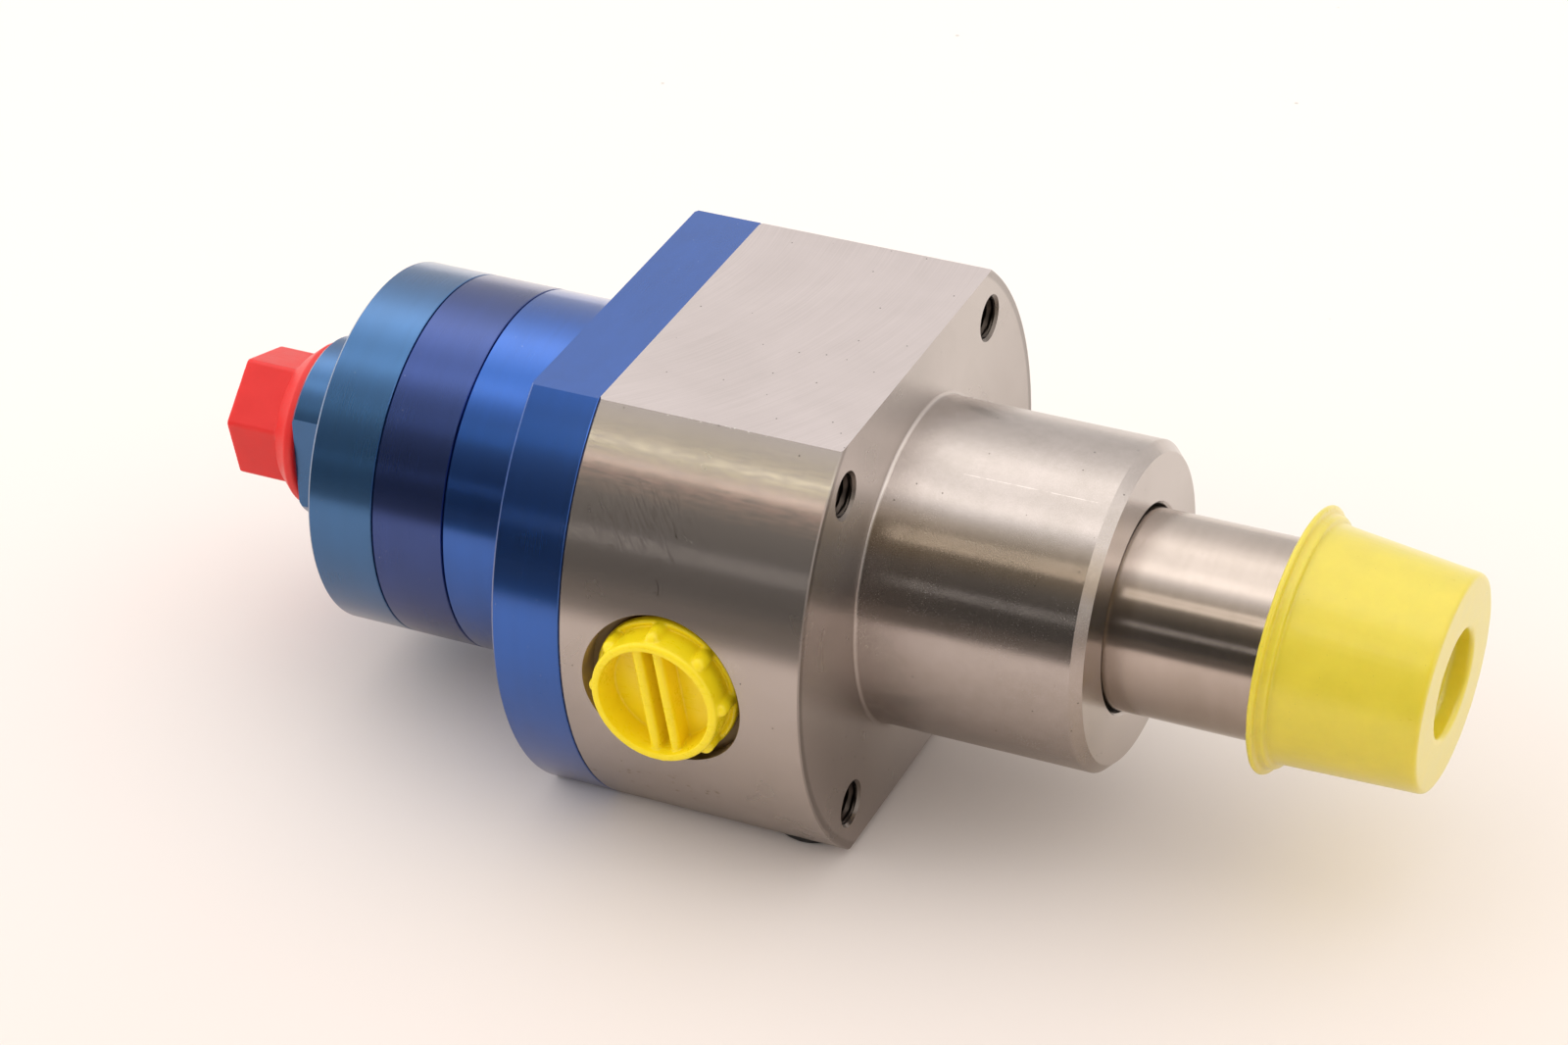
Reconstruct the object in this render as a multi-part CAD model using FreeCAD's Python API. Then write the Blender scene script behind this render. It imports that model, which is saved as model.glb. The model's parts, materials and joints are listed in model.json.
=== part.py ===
"""Hydraulic rotary union with a flanged pilot nose, one solid or group of solids per piece.

The frame: +X runs along the rotor towards its nose, +Z is normal to the two flats of the block,
and the origin is on the rotor axis in the front mounting face of the block. Sizes are in mm.
"""
import FreeCAD, Part
import math
import os

os.makedirs("parts", exist_ok=True)

# Block, pilot and flange plate
flat_to_flat = 64.0
outline_diameter = 82.0
block_length = 35.0
pilot_diameter = 46.0
pilot_length = 32.0
pilot_chamfer = 1.4
pilot_root_fillet = 0.5
edge_break = 0.35
front_edge_break = 0.2
joint_edge_break = 0.1
plate_thickness = 10.0
nose_opening_length = 5.5
shaft_opening_gap = 0.5

# Round rear stack
hub_length = 15.5
seal_housing_length = 11.0
end_cap_length = 10.0
neck_diameter = 26.4
neck_length = 10.5
neck_across_flats = 22.0
nut_chamber_diameter = 33.2
seal_chamber_diameter = 32.0
cap_screw_wall = 1.4
face_ring_inner_wall = 0.7
face_ring_outer_wall = 1.5

# Screws: front tapped holes, plate screws and end cap screws
bolt_edge_distance = 6.0
bolt_count = 4
bolt_phase = 45.0
front_thread_diameter = 6.0
front_thread_depth = 14.0
front_countersink_diameter = 6.8
plate_screw_diameter = 5.0
plate_screw_head_diameter = 8.5
plate_screw_engagement = 11.0
cap_screw_diameter = 4.0
cap_screw_head_diameter = 7.0
cap_screw_engagement = 9.0
screw_hole_clearance = 0.2
head_recess_clearance = 0.5
head_sink_depth = 0.4
thread_runout = 1.5

# Side port and rear port, both with the same pipe thread
port_x = -20.0
port_z = -1.5
port_core_diameter = 15.0
port_thread_depth = 11.0
port_drill_diameter = 10.0
spot_face_diameter = 23.0
spot_face_depth = 3.5
inlet_depth = 11.0

# Leak drain in the bottom flat
drain_x = -7.3
drain_y = -19.6
drain_hole_diameter = 3.4
drain_groove_diameter = 42.0
drain_groove_width = 4.0
drain_overrun = 4.0

# Rotor
nose_diameter = 28.0
nose_reach = 36.0
nose_chamfer = 1.0
journal_diameter = 25.0
rear_seat_diameter = 20.0
centre_bore_diameter = 8.0
nose_counterbore_diameter = 12.0
nose_counterbore_depth = 4.0
oil_passage_diameter = 4.0
oil_passage_radius = 8.6
rotor_tail_length = 3.6
rotor_tail_diameter = 18.0

# Distributor bush
bush_diameter = 40.0
bush_front_x = -10.5
bush_running_clearance = 0.03
bush_groove_width = 8.0
bush_groove_depth = 2.2
bush_port_diameter = 5.0
bush_port_count = 6
bush_rear_relief = 0.5
leak_return_diameter = 2.0
leak_return_angle = 30.0
leak_return_count = 2
bush_ring_spacing = 15.0
stop_land_width = 1.2

# Rolling bearings
front_bearing_bore = 25.0
front_bearing_outer = 37.0
front_bearing_width = 7.0
front_ball_diameter = 3.5
front_ball_count = 14
rear_bearing_bore = 20.0
rear_bearing_outer = 42.0
rear_bearing_width = 12.0
rear_ball_diameter = 6.35
rear_ball_count = 9
raceway_conformity = 0.52
land_share = 0.30
bearing_corner = 0.4
cage_clearance = 0.25
pocket_clearance = 0.12
shield_thickness = 0.5
shield_inset = 0.15
shield_clearance = 0.2
wave_spring_height = 1.5
wave_spring_thickness = 0.4
wave_spring_waves = 3
wave_spring_margin = 0.25

# Lip seal in the front opening, with its garter spring
lip_seal_width = 5.0
lip_seal_wall = 1.0
lip_clearance = 0.03
lip_thickness = 1.0
garter_section = 0.9
garter_inset = 1.5

# Pieces that hold the bearings on the rotor
retaining_ring_thickness = 1.2
retaining_ring_depth = 0.9
retaining_ring_height = 2.6
retaining_ring_gap = 5.0
lock_washer_thickness = 1.0
lock_washer_inset = 1.5
locknut_thickness = 6.0
locknut_clearance = 0.6
locknut_slots = 4
locknut_slot_width = 4.0
locknut_slot_depth = 2.0

# Face seal: rotating ring, floating ring in its carrier, spring and anti-rotation pins
seal_ring_diameter = 14.0
seal_ring_length = 4.0
seal_ring_standout = 1.5
seal_ring_chamfer = 0.5
carrier_flange_clearance = 1.0
carrier_flange_length = 3.0
carrier_cup_length = 2.5
carrier_cup_wall = 2.0
carrier_tail_diameter = 16.0
carrier_tail_length = 13.2
carrier_bore_diameter = 8.0
carrier_bore_clearance = 0.1
spring_wire_diameter = 1.2
spring_mean_diameter = 19.6
spring_coils = 3
spring_seat_depth = 2.0
spring_seat_clearance = 0.6
anti_rotation_pin_diameter = 2.5
anti_rotation_pin_inset = 1.0
anti_rotation_pin_count = 2
anti_rotation_pin_seat = 4.0
pin_notch_clearance = 0.3

# O-rings: squeezed sections, so a section is as deep as its groove
ring_section = 1.5
ring_groove_extra = 0.5
tail_ring_section = 2.0
tail_ring_gap = 0.08
bush_ring_section = 1.8

# Protective plugs for the ports
plug_wall = 1.3
port_plug_flange_diameter = 20.5
port_plug_flange_thickness = 1.7
port_plug_rim_rounding = 0.4
port_plug_crown_diameter = 18.3
port_plug_crown_height = 4.25
port_plug_crown_rounding = 0.55
port_plug_recess_diameter = 16.0
port_plug_recess_draft = 0.5
port_plug_floor = 2.0
port_plug_rib_count = 8
port_plug_rib_phase = 3.0
port_plug_rib_diameter = 2.2
port_plug_rib_drop = 0.8
port_plug_bar_thickness = 1.5
port_plug_bar_spacing = 3.0
port_plug_bar_drop = 0.7
port_plug_bar_angle = 9.0
port_plug_spigot_length = 8.5
plug_thread_clearance = 0.05
inlet_plug_flange_diameter = 24.0
inlet_plug_flange_rim = 1.4
inlet_plug_flange_height = 4.0
inlet_plug_across_flats = 17.0
inlet_plug_hex_phase = 43.0
inlet_plug_hex_length = 8.1
inlet_plug_corner_radius = 0.9
inlet_plug_recess_diameter = 10.0
inlet_plug_recess_depth = 6.5
inlet_plug_spigot_length = 8.0
drain_plug_flange_diameter = 12.0
drain_plug_flange_thickness = 1.0
drain_plug_spigot_length = 5.0
drain_plug_tip_length = 1.0
drain_plug_tip_taper = 0.4
drain_plug_bore_diameter = 1.4

# Tapered push-on cap over the rotor nose, which sits a little askew
cap_grip_length = 14.2
cap_mouth_y = 0.2
cap_mouth_z = 0.6
cap_sideways_angle = 1.24
cap_droop_angle = 2.78
cap_length = 22.2
cap_wall = 1.3
cap_mouth_clearance = 1.4
cap_taper_angle = 4.1
cap_rim_diameter = 37.2
cap_rim_thickness = 0.9
cap_step_diameter = 35.0
cap_step_length = 2.2
cap_end_thickness = 1.5
cap_end_rounding = 0.6
cap_recess_diameter = 15.0
cap_recess_depth = 3.0
cap_recess_rounding = 0.6

# Stations along the axis, worked out from the sizes above
block_rear_x = -block_length
plate_rear_x = block_rear_x - plate_thickness
hub_rear_x = plate_rear_x - hub_length
seal_housing_rear_x = hub_rear_x - seal_housing_length
end_cap_rear_x = seal_housing_rear_x - end_cap_length
neck_end_x = end_cap_rear_x - neck_length
nose_end_x = pilot_length + nose_reach
front_shoulder_x = pilot_length - nose_opening_length
lip_seal_rear_x = front_shoulder_x - lip_seal_width
front_bearing_front_x = lip_seal_rear_x - wave_spring_height
front_bearing_rear_x = front_bearing_front_x - front_bearing_width
rear_bearing_front_x = block_rear_x
rear_bearing_rear_x = rear_bearing_front_x - rear_bearing_width
washer_rear_x = rear_bearing_rear_x - lock_washer_thickness
locknut_rear_x = washer_rear_x - locknut_thickness
rotor_rear_x = locknut_rear_x - rotor_tail_length
seal_face_x = rotor_rear_x - seal_ring_standout
floating_ring_rear_x = seal_face_x - seal_ring_length
carrier_cup_front_x = seal_face_x - seal_ring_standout
carrier_flange_front_x = carrier_cup_front_x - carrier_cup_length
carrier_flange_rear_x = carrier_flange_front_x - carrier_flange_length
carrier_tail_rear_x = carrier_flange_rear_x - carrier_tail_length
spring_seat_x = seal_housing_rear_x - spring_seat_depth
inlet_floor_x = neck_end_x + inlet_depth
cap_mouth_x = nose_end_x - cap_grip_length

# Diameters that follow from the chambers, the walls around them and the clearances inside them
bolt_circle = outline_diameter - 2 * bolt_edge_distance
cap_screw_hole_diameter = cap_screw_diameter + 2 * screw_hole_clearance
cap_screw_circle = seal_chamber_diameter + 2 * cap_screw_wall + cap_screw_hole_diameter
face_ring_groove_width = ring_section + ring_groove_extra
face_ring_diameter = (cap_screw_circle + cap_screw_hole_diameter + 2 * face_ring_inner_wall
                      + face_ring_groove_width)
hub_diameter = face_ring_diameter + face_ring_groove_width + 2 * face_ring_outer_wall
locknut_diameter = nut_chamber_diameter - 2 * locknut_clearance
lock_washer_diameter = locknut_diameter - 2 * lock_washer_inset
carrier_flange_diameter = seal_chamber_diameter - 2 * carrier_flange_clearance
anti_rotation_pin_circle = carrier_flange_diameter - 2 * anti_rotation_pin_inset

# Radii that several pieces share
outline_radius = outline_diameter / 2
half_flat = flat_to_flat / 2
pilot_radius = pilot_diameter / 2
hub_radius = hub_diameter / 2
bush_radius = bush_diameter / 2
journal_radius = journal_diameter / 2
nose_radius = nose_diameter / 2
front_housing_radius = front_bearing_outer / 2
rear_housing_radius = rear_bearing_outer / 2
carrier_tail_radius = carrier_tail_diameter / 2
carrier_bore_radius = carrier_tail_radius + carrier_bore_clearance
port_core_radius = port_core_diameter / 2

origin = FreeCAD.Vector(0, 0, 0)
x_axis = FreeCAD.Vector(1, 0, 0)
z_axis = FreeCAD.Vector(0, 0, 1)
full_turn = 360.0
hexagon_sides = 6


def save(name, *solids):
    """Write one node, made of one solid or of a group of separate solids."""
    shape = solids[0] if len(solids) == 1 else Part.makeCompound(list(solids))
    shape.exportStep(os.path.join("parts", name + ".step"))


def turned(profile):
    """A turned solid: the (x, radius) points make a closed outline that is revolved about X."""
    points = [FreeCAD.Vector(x, radius, 0) for x, radius in profile]
    face = Part.Face(Part.makePolygon(points + points[:1]))
    return face.revolve(origin, x_axis, full_turn)


def rod(front_x, rear_x, radius, y=0.0, z=0.0):
    """A cylinder along X between two stations."""
    low, high = min(front_x, rear_x), max(front_x, rear_x)
    return Part.makeCylinder(radius, high - low, FreeCAD.Vector(low, y, z), x_axis)


def tube(front_x, rear_x, outer_radius, inner_radius):
    """A plain ring along X."""
    return turned([(front_x, inner_radius), (front_x, outer_radius),
                   (rear_x, outer_radius), (rear_x, inner_radius)])


def o_ring(x, mean_radius, section):
    """A torus around the X axis."""
    return Part.makeTorus(mean_radius, section / 2, FreeCAD.Vector(x, 0, 0), x_axis)


def circle_places(count, radius, phase):
    """The (y, z) places of a pattern on a circle around X, with the phase in degrees."""
    angles = [math.radians(phase + full_turn * i / count) for i in range(count)]
    return [(radius * math.cos(angle), radius * math.sin(angle)) for angle in angles]


def hexagon_corner_radius(across_flats):
    """Distance from a hexagon's centre to its corners."""
    return across_flats / 2 / math.cos(math.pi / hexagon_sides)


def hexagon_bar(front_x, rear_x, across_flats, y=0.0, z=0.0, phase=0.0):
    """A hexagonal prism along X."""
    corners = circle_places(hexagon_sides, hexagon_corner_radius(across_flats), phase)
    points = [FreeCAD.Vector(front_x, y + dy, z + dz) for dy, dz in corners]
    face = Part.Face(Part.makePolygon(points + points[:1]))
    return face.extrude(FreeCAD.Vector(rear_x - front_x, 0, 0))


def double_d_blank(front_x, rear_x, front_break):
    """A round blank with two flats. Its rear edge is broken more than its front edge."""
    blank = turned([(front_x, 0), (front_x, outline_radius - front_break),
                    (front_x - front_break, outline_radius),
                    (rear_x + edge_break, outline_radius),
                    (rear_x, outline_radius - edge_break), (rear_x, 0)])
    slab = Part.makeBox(front_x - rear_x, outline_diameter, flat_to_flat,
                        FreeCAD.Vector(rear_x, -outline_radius, -half_flat))
    return blank.common(slab)


def arc_points(centre_x, centre_radius, arc_radius, start, end, steps):
    """Points of a small arc in a turned profile, with angles in degrees from +X."""
    angles = [math.radians(start + (end - start) * i / steps) for i in range(steps + 1)]
    return [(centre_x + arc_radius * math.cos(angle), centre_radius + arc_radius * math.sin(angle))
            for angle in angles]


def cap_screw(head_rear_x, head_diameter, thread_diameter, tip_x, y, z):
    """A socket head screw that enters from the rear and points to the front."""
    head_front_x = head_rear_x + thread_diameter
    head = rod(head_rear_x, head_front_x, head_diameter / 2, y, z)
    head = head.makeChamfer(0.08 * thread_diameter, [head.Edges[0], head.Edges[2]])
    shank = rod(head_front_x, tip_x, thread_diameter / 2, y, z)
    socket_x = head_rear_x + 0.5 * thread_diameter
    socket = hexagon_bar(head_rear_x, socket_x, 0.78 * thread_diameter, y, z)
    return head.fuse(shank).removeSplitter().cut(socket)


def screw_hole(head_seat_x, head_diameter, rear_x, thread_diameter, front_x, y, z):
    """Clearance hole from the front face to the head's seat, and the recess behind it."""
    hole = rod(head_seat_x, front_x, thread_diameter / 2 + screw_hole_clearance, y, z)
    recess = rod(rear_x, head_seat_x, head_diameter / 2 + head_recess_clearance, y, z)
    return hole.fuse(recess)


def land_radius(bore, outer, ball_diameter, side):
    """Radius of a bearing ring's land: side is 1 for the outer ring and -1 for the inner ring."""
    return (bore + outer) / 4 + side * land_share * ball_diameter


def ball_bearing(front_x, bore, outer, width, ball_diameter, ball_count):
    """Outer ring, inner ring, cage, balls and shields of a deep groove ball bearing."""
    rear_x = front_x - width
    middle_x = front_x - width / 2
    pitch_radius = (bore + outer) / 4
    ball_radius = ball_diameter / 2
    inner_land = land_radius(bore, outer, ball_diameter, -1)
    outer_land = land_radius(bore, outer, ball_diameter, 1)
    corner = bearing_corner
    raceway = Part.makeTorus(pitch_radius, raceway_conformity * ball_diameter,
                             FreeCAD.Vector(middle_x, 0, 0), x_axis)
    shield_front_x = front_x - shield_inset
    shield_rear_x = rear_x + shield_inset
    shield_outer = outer_land + 0.4 * (outer / 2 - outer_land)
    inner_ring = turned([(front_x, bore / 2 + corner), (front_x - corner, bore / 2),
                         (rear_x + corner, bore / 2), (rear_x, bore / 2 + corner),
                         (rear_x, inner_land), (front_x, inner_land)]).cut(raceway)
    outer_ring = turned([(front_x, outer_land), (front_x, outer / 2 - corner),
                         (front_x - corner, outer / 2), (rear_x + corner, outer / 2),
                         (rear_x, outer / 2 - corner), (rear_x, outer_land)]).cut(raceway)
    shields = []
    for start_x, end_x, open_x in ((shield_front_x, shield_front_x - shield_thickness, front_x),
                                   (shield_rear_x, shield_rear_x + shield_thickness, rear_x)):
        outer_ring = outer_ring.cut(tube(open_x, end_x, shield_outer, 0.9 * outer_land))
        shields.append(tube(start_x, end_x, shield_outer, inner_land + shield_clearance))
    pocket_radius = ball_radius + pocket_clearance
    cage_half_width = min(pocket_radius + 0.6, width / 2 - shield_inset - shield_thickness - 0.15)
    cage = tube(middle_x + cage_half_width, middle_x - cage_half_width,
                outer_land - cage_clearance, inner_land + cage_clearance)
    balls = []
    for y, z in circle_places(ball_count, pitch_radius, 0.0):
        centre = FreeCAD.Vector(middle_x, y, z)
        balls.append(Part.makeSphere(ball_radius, centre, x_axis))
        outward = FreeCAD.Vector(0, y, z)
        start = centre - outward.normalize() * ball_diameter
        cage = cage.cut(Part.makeCylinder(pocket_radius, 2 * ball_diameter, start, outward))
    return outer_ring, inner_ring, cage, balls, shields


def bearing_pieces(name, bearing):
    """Save the five nodes of one bearing."""
    outer_ring, inner_ring, cage, balls, shields = bearing
    save(name + "_bearing_outer_ring", outer_ring)
    save(name + "_bearing_inner_ring", inner_ring)
    save(name + "_bearing_cage", cage)
    save(name + "_bearing_balls", *balls)
    save(name + "_bearing_shields", *shields)


def housing_block():
    """Steel block with two flats and the pilot barrel turned on its front."""
    body = double_d_blank(0, block_rear_x, front_edge_break)
    root = arc_points(pilot_root_fillet, pilot_radius + pilot_root_fillet, pilot_root_fillet,
                      180, 270, 4)
    pilot = turned([(-edge_break, 0), (-edge_break, root[0][1])] + root
                   + [(pilot_length - pilot_chamfer, pilot_radius),
                      (pilot_length, pilot_radius - pilot_chamfer), (pilot_length, 0)])
    body = body.fuse(pilot).removeSplitter()
    stop_front_x = bush_front_x + stop_land_width
    groove_front_x = stop_front_x + drain_groove_width
    body = body.cut(turned([
        (block_rear_x, 0), (block_rear_x, bush_radius), (bush_front_x, bush_radius),
        (bush_front_x, front_housing_radius), (stop_front_x, front_housing_radius),
        (stop_front_x, drain_groove_diameter / 2), (groove_front_x, drain_groove_diameter / 2),
        (groove_front_x, front_housing_radius), (front_shoulder_x, front_housing_radius),
        (front_shoulder_x, nose_radius + shaft_opening_gap),
        (pilot_length - edge_break, nose_radius + shaft_opening_gap),
        (pilot_length, nose_radius + shaft_opening_gap + edge_break), (pilot_length, 0)]))
    for y, z in circle_places(bolt_count, bolt_circle / 2, bolt_phase):
        body = body.cut(front_tapped_hole(y, z))
        thread_end_x = block_rear_x + plate_screw_engagement + thread_runout
        body = body.cut(rod(block_rear_x, thread_end_x, plate_screw_diameter / 2, y, z))
    body = body.cut(side_port())
    drill_top = -math.sqrt(max((drain_groove_diameter / 2) ** 2 - drain_y ** 2, 0)) + drain_overrun
    drain = Part.makeCylinder(drain_hole_diameter / 2, drill_top + half_flat,
                              FreeCAD.Vector(drain_x, drain_y, -half_flat), z_axis)
    save("housing_block", body.cut(drain))


def front_tapped_hole(y, z):
    """Blind tapped hole from the mounting face, with its countersink and drill point."""
    thread_radius = front_thread_diameter / 2
    mouth_radius = front_countersink_diameter / 2
    hole = turned([(0, 0), (0, mouth_radius), (thread_radius - mouth_radius, thread_radius),
                   (-front_thread_depth, thread_radius),
                   (-front_thread_depth - 0.6 * thread_radius, 0)])
    hole.translate(FreeCAD.Vector(0, y, z))
    return hole


def side_port():
    """Spot face, tapped port and oil drilling on the near side, along Y."""
    spot_face_y = -outline_radius + spot_face_depth
    thread_floor_y = spot_face_y + port_thread_depth
    inward = FreeCAD.Vector(0, 1, 0)
    spot = Part.makeCylinder(spot_face_diameter / 2, 2 * spot_face_depth,
                             FreeCAD.Vector(port_x, spot_face_y - 2 * spot_face_depth, port_z),
                             inward)
    thread = Part.makeCylinder(port_core_radius, port_thread_depth,
                               FreeCAD.Vector(port_x, spot_face_y, port_z), inward)
    drill = Part.makeCylinder(port_drill_diameter / 2, -thread_floor_y,
                              FreeCAD.Vector(port_x, thread_floor_y, port_z), inward)
    return spot.fuse(thread).fuse(drill)


def rear_housing():
    """Anodised flange plate and hub in one piece, which holds the rear bearing."""
    plate = double_d_blank(block_rear_x, plate_rear_x, joint_edge_break)
    hub = turned([(plate_rear_x + edge_break, 0), (plate_rear_x + edge_break, hub_radius),
                  (hub_rear_x + edge_break, hub_radius), (hub_rear_x, hub_radius - edge_break),
                  (hub_rear_x, 0)])
    body = plate.fuse(hub).removeSplitter()
    body = body.cut(turned([
        (block_rear_x, 0), (block_rear_x, rear_housing_radius),
        (rear_bearing_rear_x, rear_housing_radius),
        (rear_bearing_rear_x, nut_chamber_diameter / 2),
        (hub_rear_x, nut_chamber_diameter / 2), (hub_rear_x, 0)]))
    body = body.cut(face_groove(block_rear_x, face_ring_diameter / 2))
    head_seat_x = plate_rear_x + plate_screw_diameter + head_sink_depth
    for y, z in circle_places(bolt_count, bolt_circle / 2, bolt_phase):
        body = body.cut(screw_hole(head_seat_x, plate_screw_head_diameter, plate_rear_x,
                                   plate_screw_diameter, block_rear_x, y, z))
    for y, z in circle_places(bolt_count, cap_screw_circle / 2, bolt_phase):
        thread_end_x = hub_rear_x + cap_screw_engagement + thread_runout
        body = body.cut(rod(hub_rear_x, thread_end_x, cap_screw_diameter / 2, y, z))
    save("rear_housing", body)


def face_groove(face_x, mean_radius):
    """An O-ring groove sunk from a face towards the rear."""
    half_width = face_ring_groove_width / 2
    return tube(face_x, face_x - ring_section, mean_radius + half_width, mean_radius - half_width)


def seal_housing():
    """Middle ring of the rear stack, around the face seal."""
    body = turned([
        (hub_rear_x, seal_chamber_diameter / 2), (hub_rear_x, hub_radius - joint_edge_break),
        (hub_rear_x - joint_edge_break, hub_radius), (seal_housing_rear_x + edge_break, hub_radius),
        (seal_housing_rear_x, hub_radius - edge_break),
        (seal_housing_rear_x, seal_chamber_diameter / 2)])
    body = body.cut(face_groove(hub_rear_x, face_ring_diameter / 2))
    for y, z in circle_places(bolt_count, cap_screw_circle / 2, bolt_phase):
        body = body.cut(rod(hub_rear_x, seal_housing_rear_x, cap_screw_hole_diameter / 2, y, z))
    save("seal_housing", body)


def end_cap():
    """Rear cover with the wrench neck, the inlet thread and the floating seal's guide bore."""
    body = turned([
        (seal_housing_rear_x, 0), (seal_housing_rear_x, hub_radius - joint_edge_break),
        (seal_housing_rear_x - joint_edge_break, hub_radius),
        (end_cap_rear_x + edge_break, hub_radius),
        (end_cap_rear_x, hub_radius - edge_break), (end_cap_rear_x, neck_diameter / 2),
        (neck_end_x + edge_break, neck_diameter / 2), (neck_end_x, neck_diameter / 2 - edge_break),
        (neck_end_x, 0)])
    for side in (1, -1):
        flat = Part.makeBox(neck_length, neck_diameter, neck_diameter,
                            FreeCAD.Vector(neck_end_x, -neck_diameter / 2, -neck_diameter / 2))
        flat.translate(FreeCAD.Vector(0, side * (neck_across_flats + neck_diameter) / 2, 0))
        body = body.cut(flat)
    body = body.cut(turned([
        (seal_housing_rear_x, 0), (seal_housing_rear_x, spring_outer_radius()),
        (spring_seat_x, spring_outer_radius()), (spring_seat_x, carrier_bore_radius),
        (inlet_floor_x, carrier_bore_radius), (inlet_floor_x, port_core_radius),
        (neck_end_x, port_core_radius), (neck_end_x, 0)]))
    groove_radius = carrier_bore_radius + tail_ring_gap + tail_ring_section
    half_width = (tail_ring_section + ring_groove_extra) / 2
    body = body.cut(tube(tail_ring_x() + half_width, tail_ring_x() - half_width, groove_radius,
                         carrier_bore_radius / 2))
    body = body.cut(face_groove(seal_housing_rear_x, face_ring_diameter / 2))
    head_seat_x = end_cap_rear_x + cap_screw_diameter + head_sink_depth
    for y, z in circle_places(bolt_count, cap_screw_circle / 2, bolt_phase):
        body = body.cut(screw_hole(head_seat_x, cap_screw_head_diameter, end_cap_rear_x,
                                   cap_screw_diameter, seal_housing_rear_x, y, z))
    pin_floor_x = seal_housing_rear_x - anti_rotation_pin_seat
    for y, z in pin_places():
        body = body.cut(rod(seal_housing_rear_x, pin_floor_x, anti_rotation_pin_diameter / 2, y, z))
    save("end_cap", body)


def spring_outer_radius():
    """Radius of the pocket that centres the seal spring in the end cap."""
    return (spring_mean_diameter + spring_wire_diameter + spring_seat_clearance) / 2


def tail_ring_x():
    """Station of the O-ring that seals the floating carrier's tail."""
    return (spring_seat_x + inlet_floor_x) / 2


def pin_places():
    """Places of the anti-rotation pins, turned away from the cap screws."""
    return circle_places(anti_rotation_pin_count, anti_rotation_pin_circle / 2, 90.0)


def housing_screws():
    """Socket head screws of the plate and of the end cap."""
    plate_screws = []
    for y, z in circle_places(bolt_count, bolt_circle / 2, bolt_phase):
        tip_x = block_rear_x + plate_screw_engagement
        plate_screws.append(cap_screw(plate_rear_x + head_sink_depth, plate_screw_head_diameter,
                                      plate_screw_diameter, tip_x, y, z))
    save("flange_screws", *plate_screws)
    cap_screws = []
    for y, z in circle_places(bolt_count, cap_screw_circle / 2, bolt_phase):
        tip_x = hub_rear_x + cap_screw_engagement
        cap_screws.append(cap_screw(end_cap_rear_x + head_sink_depth, cap_screw_head_diameter,
                                    cap_screw_diameter, tip_x, y, z))
    save("end_cap_screws", *cap_screws)


def static_o_rings():
    """O-rings between the stacked parts, around the bush and around the carrier's tail."""
    half_section = ring_section / 2
    save("flange_o_ring", o_ring(block_rear_x - half_section, face_ring_diameter / 2,
                                 ring_section))
    save("seal_housing_o_ring", o_ring(hub_rear_x - half_section, face_ring_diameter / 2,
                                       ring_section))
    save("end_cap_o_ring", o_ring(seal_housing_rear_x - half_section, face_ring_diameter / 2,
                                  ring_section))
    save("carrier_o_ring", o_ring(tail_ring_x(), carrier_bore_radius + tail_ring_gap
                                  + tail_ring_section / 2, tail_ring_section))
    save("bush_o_rings", *[o_ring(port_x + side * bush_ring_spacing / 2,
                                  bush_radius - bush_ring_section / 2, bush_ring_section)
                           for side in (1, -1)])


def distributor_bush():
    """Bronze bush that feeds oil from the side port into the turning rotor."""
    bore_radius = journal_radius + bush_running_clearance
    relief_radius = land_radius(rear_bearing_bore, rear_bearing_outer, rear_ball_diameter, 1)
    body = turned([
        (bush_front_x, bore_radius), (bush_front_x, bush_radius - edge_break),
        (bush_front_x - edge_break, bush_radius), (block_rear_x, bush_radius),
        (block_rear_x, relief_radius), (block_rear_x + bush_rear_relief, relief_radius),
        (block_rear_x + bush_rear_relief, bore_radius)])
    front_x = port_x + bush_groove_width / 2
    rear_x = port_x - bush_groove_width / 2
    body = body.cut(tube(front_x, rear_x, bore_radius + bush_groove_depth, bore_radius / 2))
    body = body.cut(tube(front_x, rear_x, bush_radius + edge_break, bush_radius - bush_groove_depth))
    for y, z in circle_places(bush_port_count, 1.0, 0.0):
        body = body.cut(Part.makeCylinder(bush_port_diameter / 2, bush_radius,
                                          FreeCAD.Vector(port_x, 0, 0), FreeCAD.Vector(0, y, z)))
    half_width = (bush_ring_section + ring_groove_extra) / 2
    for side in (1, -1):
        middle_x = port_x + side * bush_ring_spacing / 2
        body = body.cut(tube(middle_x + half_width, middle_x - half_width,
                             bush_radius + edge_break, bush_radius - bush_ring_section))
    leak_radius = (bore_radius + bush_radius) / 2
    for y, z in circle_places(leak_return_count, leak_radius, leak_return_angle):
        body = body.cut(rod(bush_front_x, block_rear_x, leak_return_diameter / 2, y, z))
    save("distributor_bush", body)


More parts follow.
